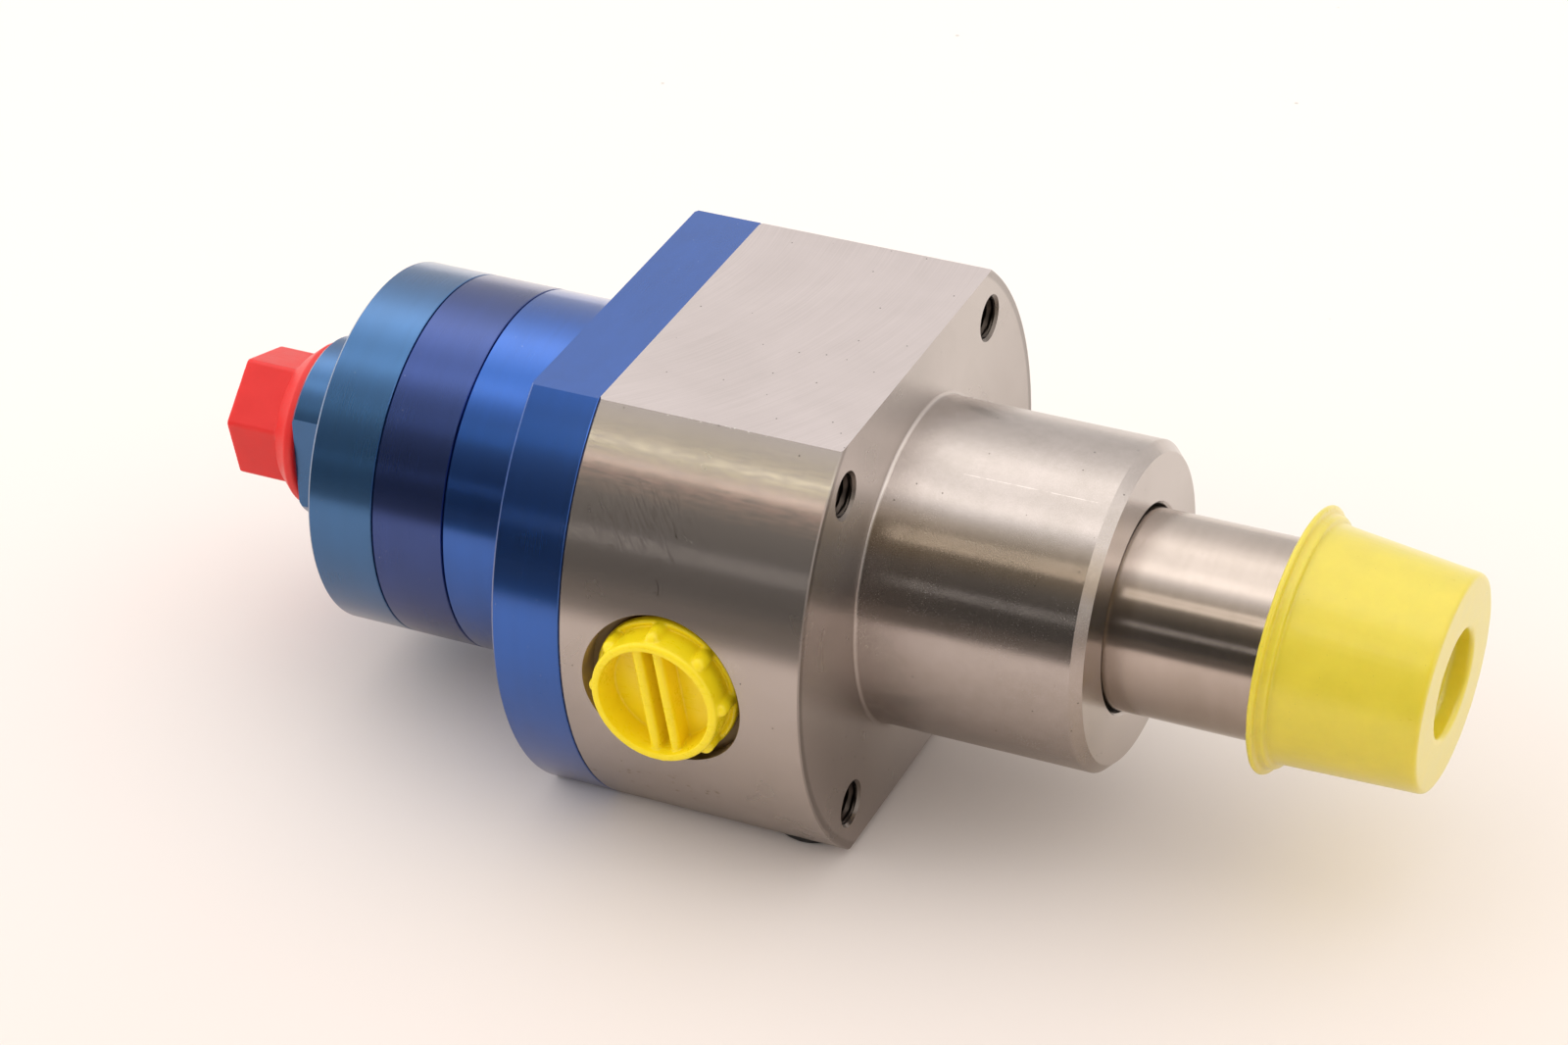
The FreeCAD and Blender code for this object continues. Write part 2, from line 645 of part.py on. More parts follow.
def rotor_shaft():
    """Ground rotor: nose, journal, rear bearing seat, nut thread and seal socket."""
    seat_radius = rear_seat_diameter / 2
    tail_radius = rotor_tail_diameter / 2
    shoulder_x = rear_bearing_front_x
    body = turned([
        (nose_end_x, 0), (nose_end_x, nose_radius - nose_chamfer),
        (nose_end_x - nose_chamfer, nose_radius), (front_bearing_front_x, nose_radius),
        (front_bearing_front_x, journal_radius), (shoulder_x, journal_radius),
        (shoulder_x, seat_radius), (locknut_rear_x, seat_radius), (locknut_rear_x, tail_radius),
        (rotor_rear_x, tail_radius), (rotor_rear_x, 0)])
    bore_radius = centre_bore_diameter / 2
    socket_floor_x = rotor_rear_x + seal_ring_length - seal_ring_standout
    counterbore_floor_x = nose_end_x - nose_counterbore_depth
    body = body.cut(turned([
        (nose_end_x, 0), (nose_end_x, nose_counterbore_diameter / 2),
        (counterbore_floor_x, nose_counterbore_diameter / 2), (counterbore_floor_x, bore_radius),
        (socket_floor_x, bore_radius), (socket_floor_x, seal_ring_diameter / 2),
        (rotor_rear_x, seal_ring_diameter / 2), (rotor_rear_x, 0)]))
    ring_front_x = front_bearing_rear_x
    body = body.cut(tube(ring_front_x, ring_front_x - retaining_ring_thickness,
                         journal_radius + edge_break, journal_radius - retaining_ring_depth))
    for side in (1, -1):
        passage_floor_x = port_x - oil_passage_diameter / 2
        body = body.cut(rod(nose_end_x, passage_floor_x, oil_passage_diameter / 2,
                            0, side * oil_passage_radius))
        cross_start = FreeCAD.Vector(port_x, 0, side * oil_passage_radius)
        body = body.cut(Part.makeCylinder(oil_passage_diameter / 2, journal_radius, cross_start,
                                          FreeCAD.Vector(0, 0, side)))
    save("rotor_shaft", body)


def rotor_fasteners():
    """Retaining ring, lock washer and slotted locknut on the rotor."""
    inner_radius = journal_radius - retaining_ring_depth
    ring_front_x = front_bearing_rear_x
    ring_rear_x = ring_front_x - retaining_ring_thickness
    ring = tube(ring_front_x, ring_rear_x, inner_radius + retaining_ring_height, inner_radius)
    gap = Part.makeBox(2 * retaining_ring_thickness, retaining_ring_gap, 2 * journal_radius,
                       FreeCAD.Vector(ring_rear_x - retaining_ring_thickness / 2,
                                      -retaining_ring_gap / 2, 0))
    save("rotor_retaining_ring", ring.cut(gap))
    seat_radius = rear_seat_diameter / 2
    save("lock_washer", tube(rear_bearing_rear_x, washer_rear_x, lock_washer_diameter / 2,
                             seat_radius))
    nut_radius = locknut_diameter / 2
    nut = turned([(washer_rear_x, seat_radius), (washer_rear_x, nut_radius - 2 * edge_break),
                  (washer_rear_x - edge_break, nut_radius), (locknut_rear_x, nut_radius),
                  (locknut_rear_x, seat_radius)])
    for i in range(locknut_slots):
        slot = Part.makeBox(2 * locknut_thickness, locknut_slot_width, 2 * locknut_slot_depth,
                            FreeCAD.Vector(locknut_rear_x - locknut_thickness / 2,
                                           -locknut_slot_width / 2,
                                           nut_radius - locknut_slot_depth))
        slot.rotate(origin, x_axis, full_turn * i / locknut_slots)
        nut = nut.cut(slot)
    save("bearing_locknut", nut)


def seal_rings():
    """Rotating ring in the rotor's socket and floating ring in the carrier."""
    bore_radius = centre_bore_diameter / 2
    outer_radius = seal_ring_diameter / 2
    save("rotating_seal_ring", turned([
        (seal_face_x + seal_ring_length, bore_radius), (seal_face_x + seal_ring_length, outer_radius),
        (seal_face_x + seal_ring_chamfer, outer_radius),
        (seal_face_x, outer_radius - seal_ring_chamfer), (seal_face_x, bore_radius)]))
    save("floating_seal_ring", turned([
        (seal_face_x, bore_radius), (seal_face_x, outer_radius - seal_ring_chamfer),
        (seal_face_x - seal_ring_chamfer, outer_radius), (floating_ring_rear_x, outer_radius),
        (floating_ring_rear_x, bore_radius)]))


def seal_carrier():
    """Sleeve that holds the floating ring, guided in the end cap and notched for the pins."""
    cup_outer = seal_ring_diameter / 2 + carrier_cup_wall
    body = turned([
        (carrier_cup_front_x, seal_ring_diameter / 2), (carrier_cup_front_x, cup_outer),
        (carrier_flange_front_x, cup_outer), (carrier_flange_front_x, carrier_flange_diameter / 2),
        (carrier_flange_rear_x, carrier_flange_diameter / 2),
        (carrier_flange_rear_x, carrier_tail_radius), (carrier_tail_rear_x, carrier_tail_radius),
        (carrier_tail_rear_x, carrier_bore_diameter / 2),
        (floating_ring_rear_x, carrier_bore_diameter / 2),
        (floating_ring_rear_x, seal_ring_diameter / 2)])
    notch_radius = anti_rotation_pin_diameter / 2 + pin_notch_clearance
    for y, z in pin_places():
        body = body.cut(rod(carrier_flange_front_x, carrier_flange_rear_x, notch_radius, y, z))
    save("seal_carrier", body)


def seal_spring():
    """Coil spring between the end cap's pocket and the carrier's flange."""
    free_length = carrier_flange_rear_x - spring_seat_x
    climb = free_length - spring_wire_diameter
    mean_radius = spring_mean_diameter / 2
    helix = Part.makeHelix(climb / spring_coils, climb, mean_radius)
    section = Part.Wire(Part.makeCircle(spring_wire_diameter / 2,
                                        FreeCAD.Vector(mean_radius, 0, 0),
                                        FreeCAD.Vector(0, 1, 0)))
    coil = Part.Wire(helix).makePipeShell([section], True, True)
    coil.rotate(origin, FreeCAD.Vector(0, 1, 0), 90)
    coil.translate(FreeCAD.Vector(spring_seat_x + spring_wire_diameter / 2, 0, 0))
    save("seal_spring", coil)


def anti_rotation_pins():
    """Dowels pressed in the end cap that keep the carrier from turning."""
    floor_x = seal_housing_rear_x - anti_rotation_pin_seat
    save("anti_rotation_pins", *[rod(floor_x, carrier_flange_front_x + edge_break,
                                     anti_rotation_pin_diameter / 2, y, z)
                                 for y, z in pin_places()])


def preload_wave_spring():
    """Wavy washer that preloads the front bearing from the pilot's shoulder."""
    ring_inner = land_radius(front_bearing_bore, front_bearing_outer, front_ball_diameter, 1)
    radii = (ring_inner + wave_spring_margin, front_housing_radius - wave_spring_margin)
    rise = (wave_spring_height - wave_spring_thickness) / 2
    low_x = front_bearing_front_x + rise
    samples = 8 * wave_spring_waves
    edges = []
    for radius in radii:
        points = []
        for i in range(samples):
            angle = 2 * math.pi * i / samples
            wave_x = low_x + rise * math.sin(wave_spring_waves * angle)
            points.append(FreeCAD.Vector(wave_x, radius * math.cos(angle), radius * math.sin(angle)))
        curve = Part.BSplineCurve()
        curve.interpolate(points, PeriodicFlag=True)
        edges.append(curve.toShape())
    surface = Part.makeRuledSurface(edges[0], edges[1])
    save("preload_wave_spring", surface.extrude(x_axis * wave_spring_thickness))


def front_shaft_seal():
    """Lip seal against the rotor's nose, and the garter spring around its lip."""
    outer = front_housing_radius
    bore = nose_radius + lip_clearance
    front_x = front_shoulder_x
    rear_x = lip_seal_rear_x
    garter_x = rear_x + garter_inset
    garter_radius = bore + lip_thickness + garter_section / 2
    save("front_shaft_seal", turned([
        (front_x, nose_radius + shaft_opening_gap), (front_x, outer), (rear_x, outer),
        (rear_x, outer - lip_seal_wall), (front_x - lip_seal_wall, outer - lip_seal_wall),
        (front_x - lip_seal_wall, bore + lip_thickness), (rear_x, bore + lip_thickness),
        (rear_x, bore + lip_thickness / 2), (garter_x, bore)]))
    save("seal_garter_spring", o_ring(garter_x, garter_radius, garter_section))


def port_plug():
    """Moulded plug of the side port: flange, ribbed crown, two coin bars and hollow spigot."""
    flange_top = port_plug_flange_thickness
    crown_top = flange_top + port_plug_crown_height
    flange_radius = port_plug_flange_diameter / 2
    crown_radius = port_plug_crown_diameter / 2
    recess_radius = port_plug_recess_diameter / 2
    wall_radius = (recess_radius + crown_radius) / 2
    spigot_radius = port_core_radius - plug_thread_clearance
    spigot_end = -port_plug_spigot_length
    hollow_top = port_plug_floor - plug_wall
    rim = port_plug_rim_rounding
    soft = port_plug_crown_rounding
    rim_arc = arc_points(flange_top - rim, flange_radius - rim, rim, 90, -45, 5)
    crown_arc = arc_points(crown_top - soft, crown_radius - soft, soft, 90, 0, 4)
    body = turned([
        (spigot_end, spigot_radius - plug_wall), (spigot_end, spigot_radius - edge_break),
        (spigot_end + edge_break, spigot_radius), (0, spigot_radius), (0, flange_radius - rim),
        (rim, flange_radius)] + rim_arc + [(flange_top - rim, crown_radius)] + crown_arc + [
        (crown_top, recess_radius),
        (port_plug_floor, recess_radius - port_plug_recess_draft), (port_plug_floor, 0),
        (hollow_top, 0), (hollow_top, spigot_radius - plug_wall)])
    rib_radius = port_plug_rib_diameter / 2
    rib_end = crown_top - port_plug_rib_drop - rib_radius
    core = rod(0, crown_top, wall_radius)
    for y, z in circle_places(port_plug_rib_count, crown_radius - 0.1 * rib_radius,
                              port_plug_rib_phase):
        rib = turned([(flange_top / 2, 0), (flange_top / 2, rib_radius)]
                     + arc_points(rib_end, 0, rib_radius, 90, 0, 4))
        rib.translate(FreeCAD.Vector(0, y, z))
        body = body.fuse(rib.cut(core))
    crest_radius = port_plug_bar_thickness / 2
    crest_x = crown_top - port_plug_bar_drop - crest_radius
    for side in (1, -1):
        bar = Part.makeBox(crest_x - port_plug_floor / 2, port_plug_bar_thickness, 2 * wall_radius,
                           FreeCAD.Vector(port_plug_floor / 2, -crest_radius, -wall_radius))
        crest = Part.makeCylinder(crest_radius, 2 * wall_radius,
                                  FreeCAD.Vector(crest_x, 0, -wall_radius), z_axis)
        bar = bar.fuse(crest).removeSplitter()
        bar.translate(FreeCAD.Vector(0, side * port_plug_bar_spacing / 2, 0))
        bar.rotate(origin, x_axis, port_plug_bar_angle)
        body = body.fuse(bar.common(core))
    body = body.removeSplitter()
    body.rotate(origin, z_axis, -90)
    body.translate(FreeCAD.Vector(port_x, -outline_radius + spot_face_depth, port_z))
    save("port_plug", body)


def inlet_plug():
    """Moulded hexagon plug of the rear inlet, with its conical flange and hollow spigot."""
    flange_radius = inlet_plug_flange_diameter / 2
    hexagon_radius = hexagon_corner_radius(inlet_plug_across_flats)
    spigot_radius = port_core_radius - plug_thread_clearance
    flange_top_x = neck_end_x - inlet_plug_flange_height
    hexagon_end_x = flange_top_x - inlet_plug_hex_length
    spigot_end_x = neck_end_x + inlet_plug_spigot_length
    flange = turned([
        (neck_end_x, 0), (neck_end_x, flange_radius - edge_break),
        (neck_end_x - edge_break, flange_radius),
        (neck_end_x - inlet_plug_flange_rim, flange_radius),
        (flange_top_x, hexagon_radius), (flange_top_x, 0)])
    hexagon = hexagon_bar(flange_top_x + edge_break, hexagon_end_x, inlet_plug_across_flats,
                          phase=inlet_plug_hex_phase)
    hexagon = hexagon.common(rod(flange_top_x + edge_break, hexagon_end_x,
                                 hexagon_radius - 0.155 * inlet_plug_corner_radius))
    spigot = tube(neck_end_x, spigot_end_x, spigot_radius, spigot_radius - plug_wall)
    recess = rod(hexagon_end_x, hexagon_end_x + inlet_plug_recess_depth,
                 inlet_plug_recess_diameter / 2)
    save("inlet_plug", flange.fuse([hexagon, spigot]).removeSplitter().cut(recess))


def drain_plug():
    """Small push-in plug of the leak drain, its flange proud of the bottom flat."""
    flange_radius = drain_plug_flange_diameter / 2
    spigot_radius = drain_hole_diameter / 2 - plug_thread_clearance
    thickness = drain_plug_flange_thickness
    body = turned([
        (0, drain_plug_bore_diameter / 2), (drain_plug_spigot_length, drain_plug_bore_diameter / 2),
        (drain_plug_spigot_length, spigot_radius - drain_plug_tip_taper),
        (drain_plug_spigot_length - drain_plug_tip_length, spigot_radius),
        (0, spigot_radius), (0, flange_radius), (-0.6 * thickness, flange_radius),
        (-thickness, flange_radius - 0.4 * thickness), (-thickness, 0), (0, 0)])
    body.rotate(origin, FreeCAD.Vector(0, 1, 0), -90)
    body.translate(FreeCAD.Vector(drain_x, drain_y, -half_flat))
    save("drain_plug", body)


def shaft_cap():
    """Tapered push-on cap over the rotor nose: rolled rim, step ring, cone and dished end."""
    mouth_inner = nose_radius + cap_mouth_clearance
    slope = math.tan(math.radians(cap_taper_angle))
    end_outer = mouth_inner + cap_wall - slope * cap_length
    floor_x = cap_length - cap_end_thickness
    end_inner = mouth_inner - slope * floor_x
    rim_radius = cap_rim_diameter / 2
    step_radius = cap_step_diameter / 2
    cone_start = mouth_inner + cap_wall - slope * cap_step_length
    recess_radius = cap_recess_diameter / 2
    recess_floor_x = cap_length - cap_recess_depth
    rim_round = cap_rim_thickness / 3
    end_round = arc_points(cap_length - cap_end_rounding, end_outer - cap_end_rounding,
                           cap_end_rounding, 90, 0, 3)
    soft = cap_recess_rounding
    recess_edge = arc_points(cap_length - soft, recess_radius + soft, soft, 0, -90, 4)
    recess_corner = arc_points(recess_floor_x + soft, recess_radius - soft, soft, 90, 180, 4)
    body = turned([
        (0, mouth_inner), (0, rim_radius - rim_round), (rim_round, rim_radius),
        (cap_rim_thickness - rim_round, rim_radius), (cap_rim_thickness, rim_radius - rim_round),
        (cap_rim_thickness, step_radius), (cap_step_length - rim_round, step_radius),
        (cap_step_length, step_radius - rim_round), (cap_step_length, cone_start)]
        + end_round + recess_edge + recess_corner + [
        (recess_floor_x, 0),
        (recess_floor_x - cap_end_thickness, 0),
        (recess_floor_x - cap_end_thickness, recess_radius + cap_wall),
        (floor_x, recess_radius + cap_wall), (floor_x, end_inner)])
    body.rotate(origin, FreeCAD.Vector(0, 1, 0), cap_droop_angle)
    body.rotate(origin, z_axis, -cap_sideways_angle)
    body.translate(FreeCAD.Vector(cap_mouth_x, cap_mouth_y, cap_mouth_z))
    save("shaft_cap", body)


housing_block()
rear_housing()
seal_housing()
end_cap()
housing_screws()
static_o_rings()
distributor_bush()
rotor_shaft()
rotor_fasteners()
bearing_pieces("front", ball_bearing(front_bearing_front_x, front_bearing_bore,
                                     front_bearing_outer, front_bearing_width,
                                     front_ball_diameter, front_ball_count))
bearing_pieces("rear", ball_bearing(rear_bearing_front_x, rear_bearing_bore, rear_bearing_outer,
                                    rear_bearing_width, rear_ball_diameter, rear_ball_count))
front_shaft_seal()
preload_wave_spring()
seal_rings()
seal_carrier()
seal_spring()
anti_rotation_pins()
port_plug()
inlet_plug()
drain_plug()
shaft_cap()
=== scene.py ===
import json
import math

import bpy
from mathutils import Matrix, Vector


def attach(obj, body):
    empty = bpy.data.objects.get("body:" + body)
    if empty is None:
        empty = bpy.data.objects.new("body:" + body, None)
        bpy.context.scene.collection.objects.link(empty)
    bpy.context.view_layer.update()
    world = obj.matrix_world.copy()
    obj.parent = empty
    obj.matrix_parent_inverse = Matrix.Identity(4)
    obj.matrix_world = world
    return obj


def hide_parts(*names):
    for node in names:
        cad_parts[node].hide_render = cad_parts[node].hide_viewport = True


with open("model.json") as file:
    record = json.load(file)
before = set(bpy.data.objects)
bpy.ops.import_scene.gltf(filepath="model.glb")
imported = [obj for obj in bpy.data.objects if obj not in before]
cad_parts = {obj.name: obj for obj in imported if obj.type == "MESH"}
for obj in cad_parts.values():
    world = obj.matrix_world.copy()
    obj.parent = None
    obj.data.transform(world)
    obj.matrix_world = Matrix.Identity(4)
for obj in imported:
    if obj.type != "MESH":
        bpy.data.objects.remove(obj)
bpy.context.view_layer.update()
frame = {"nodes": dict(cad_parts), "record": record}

# The table top, in metres, in the part's own frame. It touches the drain plug and the rear edge,
# so it's a little tilted there.
FLOOR_AT = (-0.045, 0.0, -0.032)
FLOOR_TILT = math.radians(1.53)
FLOOR_HALF_WIDTH = 3.0

# The part's own measures, in millimetres
OUTLINE_RADIUS = 41.0
PILOT_RADIUS = 23.0
HOLE_OFFSET = 35.0 * math.sin(math.radians(45))
COUNTERSINK_RADIUS = 3.4
FLAT_EDGE_ARC = 36.7
PORT_X, PORT_Z = -20.0, -1.5
SPOT_FACE_RADIUS = 11.5
PORT_THREAD_RADIUS, PORT_THREAD_PITCH = 7.6, 1.337
MILLING_CENTRE_X, MILLING_CENTRE_Y = -74.0, 18.0

# The turns in the four front holes, in millimetres
THREAD_ROOT_RADIUS, THREAD_CREST_RADIUS = 2.97, 2.58
THREAD_START_X, THREAD_DEPTH, THREAD_PITCH = -0.5, 13.0, 1.0
THREAD_SIDES, THREAD_STEPS_PER_TURN = 56, 8

# The photograph's camera: its axes, how far the part's origin lies to its right, below and ahead
# of it in metres, and its lens
VIEW_RIGHT = (0.91087918, 0.41210576, -0.02163215)
VIEW_UP = (-0.20694442, 0.5015053, 0.84003955)
VIEW_BACK = (0.35703378, -0.76069788, 0.54209373)
VIEW_SHIFT = (0.01876, 0.00496, 0.6162)
SENSOR_WIDTH = 36.0
FOCAL_IN_FRAME_WIDTHS = 4588.36 / 1600

# Faint temper tints with a painted highlight band (factors over one) up the block's side, and a
# painted olive shade band up the pilot, each over the angle above the horizontal as a share of 90
# degrees
TEMPER_TINTS_AND_PAINTED_HIGHLIGHT = [
    (0.375, (1.0, 1.0, 1.0)), (0.40, (1.2, 1.12, 1.08)), (0.433, (1.5, 1.3, 1.24)),
    (0.447, (1.5, 1.34, 1.3)), (0.464, (1.2, 1.14, 1.05)), (0.478, (1.24, 1.25, 1.08)),
    (0.492, (1.46, 1.48, 1.3)), (0.503, (1.42, 1.43, 1.25)), (0.53, (1.15, 1.15, 1.05)),
    (0.57, (1.0, 1.0, 1.0))]
PAINTED_OLIVE_SHADE_BAND = [
    (0.36, (1.0, 1.0, 1.0)), (0.41, (0.94, 0.88, 0.78)), (0.45, (0.85, 0.79, 0.69)),
    (0.50, (0.80, 0.76, 0.68)), (0.55, (0.96, 0.93, 0.88)), (0.60, (1.0, 1.0, 1.0))]

# Colours that dirt and wear bring, and colours of painted shade and painted reflection, linear
BURNISHED = (0.95, 0.92, 0.88, 1)
PALE_SCRATCH = (0.95, 0.9, 0.86, 1)
PALE_SCUFF = (0.85, 0.82, 0.78, 1)
DARK_SCRATCH = (0.09, 0.07, 0.05, 1)
DARK_SPECK = (0.05, 0.035, 0.025, 1)
METAL_SPECK = (0.06, 0.045, 0.035, 1)
PLASTIC_SPECK = (0.05, 0.035, 0.015, 1)
LINT = (0.75, 0.75, 0.8, 1)
RUBBED = (0.21, 0.175, 0.15, 1)
BROWN_STAIN = (0.16, 0.09, 0.045, 1)
# The next two paint shade: oil with painted shade in the countersinks, painted shade on the outer
# chamfer
OIL_AND_PAINTED_SHADE = (0.09, 0.07, 0.055, 1)
PAINTED_RIM_SHADE = (0.12, 0.10, 0.09, 1)
# Painted reflection of the yellow plug with painted shade, for the port's spot face
PAINTED_OLIVE_REFLECTION = (0.36, 0.27, 0.13, 1)
CRUMB = (0.30, 0.25, 0.21, 1)

# Depth of the finest grain, in metres
METAL_GRAIN = 0.00001
MOULDED_GRAIN = 0.00003

# The world's light over the angle up from the horizon on the near side, in degrees: its level,
# and for yellower stops how yellow. REAR holds for directions to the left and FRONT for the rest.
UNDER = [(-180, 0.75), (-90, 0.75), (-40, 0.5), (-14, 0.14), (-6, 0.085)]
REAR = UNDER + [
    (8, 0.07), (20, 0.10), (32, 0.14), (44, 0.21), (56, 0.30), (62, 0.38), (66, 0.50), (70, 0.68),
    (74, 1.0), (78, 1.25), (82, 1.25), (87, 1.0), (92, 0.9), (98, 1.2), (104, 1.6), (112, 2.05),
    (120, 2.05), (128, 1.5), (140, 0.95), (152, 0.72), (165, 0.62), (180, 0.6)]
FRONT = UNDER + [
    (8, 0.05, 0.7), (20, 0.055, 0.7), (30, 0.09, 1), (36, 0.155, 1), (43, 0.24, 1),
    (50, 0.38, 0.9), (56, 0.6, 0.6), (62, 0.78, 0.3), (68, 1.0), (73, 1.45), (79, 2.2), (86, 2.1),
    (92, 1.8), (104, 1.65), (116, 1.8), (128, 1.5), (140, 1.15), (152, 1.0), (165, 0.9),
    (180, 0.85)]
# These two are added to it in windows of their own, and EDGE takes over far to both sides
MIDDLE = [
    (-180, 0.0), (-14, 0.0), (-8, 0.07), (10, 0.13), (24, 0.08), (34, 0.2), (43, 0.4), (54, 0.7),
    (62, 0.42), (70, 0.1), (76, 0.0), (180, 0.0)]
LAMPS = [
    (-180, 0.0), (44.2, 0.0), (45.2, 6.0, 0.3), (46.4, 5.6, 0.3), (47.4, 3.4, 0.3),
    (50.8, 2.2, 0.3), (51.6, 5.0, 0.3), (53.0, 5.0, 0.3), (54.2, 0.2), (56, 0.0)]
EDGE = [
    (-180, 1.2), (-60, 0.95), (-20, 0.9), (20, 0.8), (52, 0.9), (62, 1.3), (67, 3.0), (72, 1.5),
    (90, 1.2), (140, 1.3), (180, 1.2)]
# Matt surfaces see these instead, from the right and from the left
MATT_RIGHT = [
    (-180, 0.95), (-90, 0.75), (-30, 0.6), (0, 0.55), (20, 0.62), (45, 0.85), (60, 1.05),
    (75, 1.12), (100, 1.15), (180, 1.08)]
MATT_LEFT = [
    (-180, 0.95), (-90, 0.75), (-30, 0.75), (0, 1.2), (20, 1.6), (45, 2.0), (60, 2.2), (85, 1.5),
    (110, 1.15), (180, 1.15)]
# Where along X each light holds, as the direction's own X. A window starts, is full, fades, ends.
REAR_TO_FRONT = (-0.41, -0.34)
MIDDLE_WINDOW = (-0.41, -0.39, -0.355, -0.335)
LAMPS_WINDOW = (-0.24, -0.18, -0.10, -0.02)
TUBES_WINDOW = (-0.415, -0.39, -0.1, 0.0)
OUT_TO_EDGE = (0.62, 0.92)
MATT_RIGHT_TO_LEFT = (-0.2, -0.6)
# Two thin tubes, which the steel shows as fine lines. They rise a little to the right.
TUBE_ANGLES = (15.4, 18.4)
TUBE_CORE, TUBE_EDGE = math.radians(0.25), math.radians(0.5)
TUBE_SLOPE, TUBE_PIVOT = 0.07, -0.33
TUBE_COLOUR = (1.7, 1.62, 1.55, 1)
BACKDROP = (1.0, 0.985, 0.97, 1)

# Painted shade and a painted dark room in the table's reflection: polished steel sees the table's
# colour times a share from near to far, darker close to the part, and a dark room past its front
# edge. All in millimetres along Y.
TABLE_NEAR_Y, TABLE_FAR_Y = -120.0, 60.0
TABLE_EDGE_Y, ROOM_Y = -155.0, -215.0
TABLE_SHADE_IN_STEEL = [
    (0.0, (0.95, 0.93, 0.92)), (0.55, (0.72, 0.68, 0.65)), (0.66, (0.80, 0.77, 0.74)),
    (0.8, (1.0, 1.0, 1.0)), (1.0, (1.0, 1.0, 1.0))]
PAINTED_ROOM_IN_STEEL = (0.10, 0.085, 0.075, 1)


class Shader:
    """Adds nodes to one tree. A value may be a number, a colour or another node's output."""

    def __init__(self, tree):
        self.tree = tree

    def node(self, kind, inputs=None, **settings):
        node = self.tree.nodes.new(kind)
        for name, value in settings.items():
            setattr(node, name, value)
        for name, value in (inputs or {}).items():
            self.put(node.inputs[name], value)
        return node

    def put(self, socket, value):
        if isinstance(value, bpy.types.NodeSocket):
            self.tree.links.new(value, socket)
        else:
            socket.default_value = value

    def math(self, operation, *values):
        inputs = dict(enumerate(values))
        return self.node("ShaderNodeMath", inputs, operation=operation).outputs[0]

    def plus(self, total, *others):
        for other in others:
            total = self.math("ADD", total, other)
        return total

    def minus(self, a, b):
        return self.math("SUBTRACT", a, b)

    def times(self, product, *others):
        for other in others:
            product = self.math("MULTIPLY", product, other)
        return product

    def over(self, a, b):
        return self.math("DIVIDE", a, b)

    def absolute(self, value):
        return self.math("ABSOLUTE", value)

    def larger(self, a, b):
        return self.math("MAXIMUM", a, b)

    def squares(self, u, v):
        return self.plus(self.times(u, u), self.times(v, v))

    def length(self, u, v):
        return self.math("SQRT", self.squares(u, v))

    def fit(self, value, low, high, to_low=0.0, to_high=1.0, smooth=False):
        """The value carried from one range to another, and clamped there."""
        kind = "SMOOTHSTEP" if smooth else "LINEAR"
        inputs = {"Value": value, "From Min": low, "From Max": high, "To Min": to_low,
                  "To Max": to_high}
        node = self.node("ShaderNodeMapRange", inputs, interpolation_type=kind, clamp=True)
        return node.outputs[0]

    def spread(self, noise, low, high):
        """Noise carried from where most of it lies to another range."""
        return self.fit(noise, 0.3, 0.7, low, high)

    def window(self, value, start, full, fade, end):
        """One from full to fade, and zero before start and after end."""
        return self.times(self.fit(value, start, full, smooth=True),
                          self.fit(value, end, fade, smooth=True))

    def scale(self, vector, factor):
        inputs = {0: vector, 3: factor}
        return self.node("ShaderNodeVectorMath", inputs, operation="SCALE").outputs[0]

    def stretch(self, vector, factors):
        inputs = {0: vector, 1: factors}
        return self.node("ShaderNodeVectorMath", inputs, operation="MULTIPLY").outputs[0]

    def combine(self, x, y, z):
        return self.node("ShaderNodeCombineXYZ", {0: x, 1: y, 2: z}).outputs[0]

    def split(self, vector):
        return self.node("ShaderNodeSeparateXYZ", {0: vector}).outputs

    def noise(self, vector, scale, detail, roughness, distortion=0.0):
        inputs = {"Vector": vector, "Scale": scale, "Detail": detail, "Roughness": roughness,
                  "Distortion": distortion}
        return self.node("ShaderNodeTexNoise", inputs).outputs[0]

    def dots(self, vector, scale, core, edge, strength=1.0):
        """Scattered round dots: the strength inside the core radius, zero past the edge."""
        cells = self.node("ShaderNodeTexVoronoi", {"Vector": vector, "Scale": scale})
        return self.fit(cells.outputs["Distance"], core, edge, strength, 0.0)

    def scratch(self, u, v, start, end, width):
        """One inside a thin straight line from start to end in the plane of u and v."""
        du, dv = end[0] - start[0], end[1] - start[1]
        pu, pv = self.minus(u, start[0]), self.minus(v, start[1])
        dot = self.plus(self.times(pu, du), self.times(pv, dv))
        along = self.fit(dot, 0.0, du * du + dv * dv)
        off = self.length(self.minus(pu, self.times(along, du)),
                          self.minus(pv, self.times(along, dv)))
        return self.fit(off, width * 0.5, width, 1.0, 0.0)

    def mix(self, share, a, b, blend="MIX"):
        inputs = {0: share, 6: a, 7: b}
        node = self.node("ShaderNodeMix", inputs, data_type="RGBA", blend_type=blend)
        return node.outputs[2]

    def lerp(self, share, a, b):
        return self.node("ShaderNodeMix", {0: share, 2: a, 3: b}, data_type="FLOAT").outputs[0]

    def daub(self, base, colour, *shares):
        """The base with another colour over it, by the product of the shares."""
        return self.mix(self.times(*shares), base, colour)

    def tint(self, base, factor, share):
        """The base multiplied with a factor colour, by the share."""
        return self.mix(share, base, self.mix(1.0, base, factor, "MULTIPLY"))

    def bump(self, height, strength, distance):
        inputs = {"Height": height, "Strength": strength, "Distance": distance}
        return self.node("ShaderNodeBump", inputs).outputs[0]

    def ramp(self, value, stops):
        node = self.node("ShaderNodeValToRGB", {0: value})
        elements = node.color_ramp.elements
        while len(elements) < len(stops):
            elements.new(0.5)
        for element, (place, colour) in zip(elements, stops):
            element.position = place
            element.color = (*colour, 1.0)
        return node.outputs[0]

    def ray(self, kind):
        return self.node("ShaderNodeLightPath").outputs["Is %s Ray" % kind]


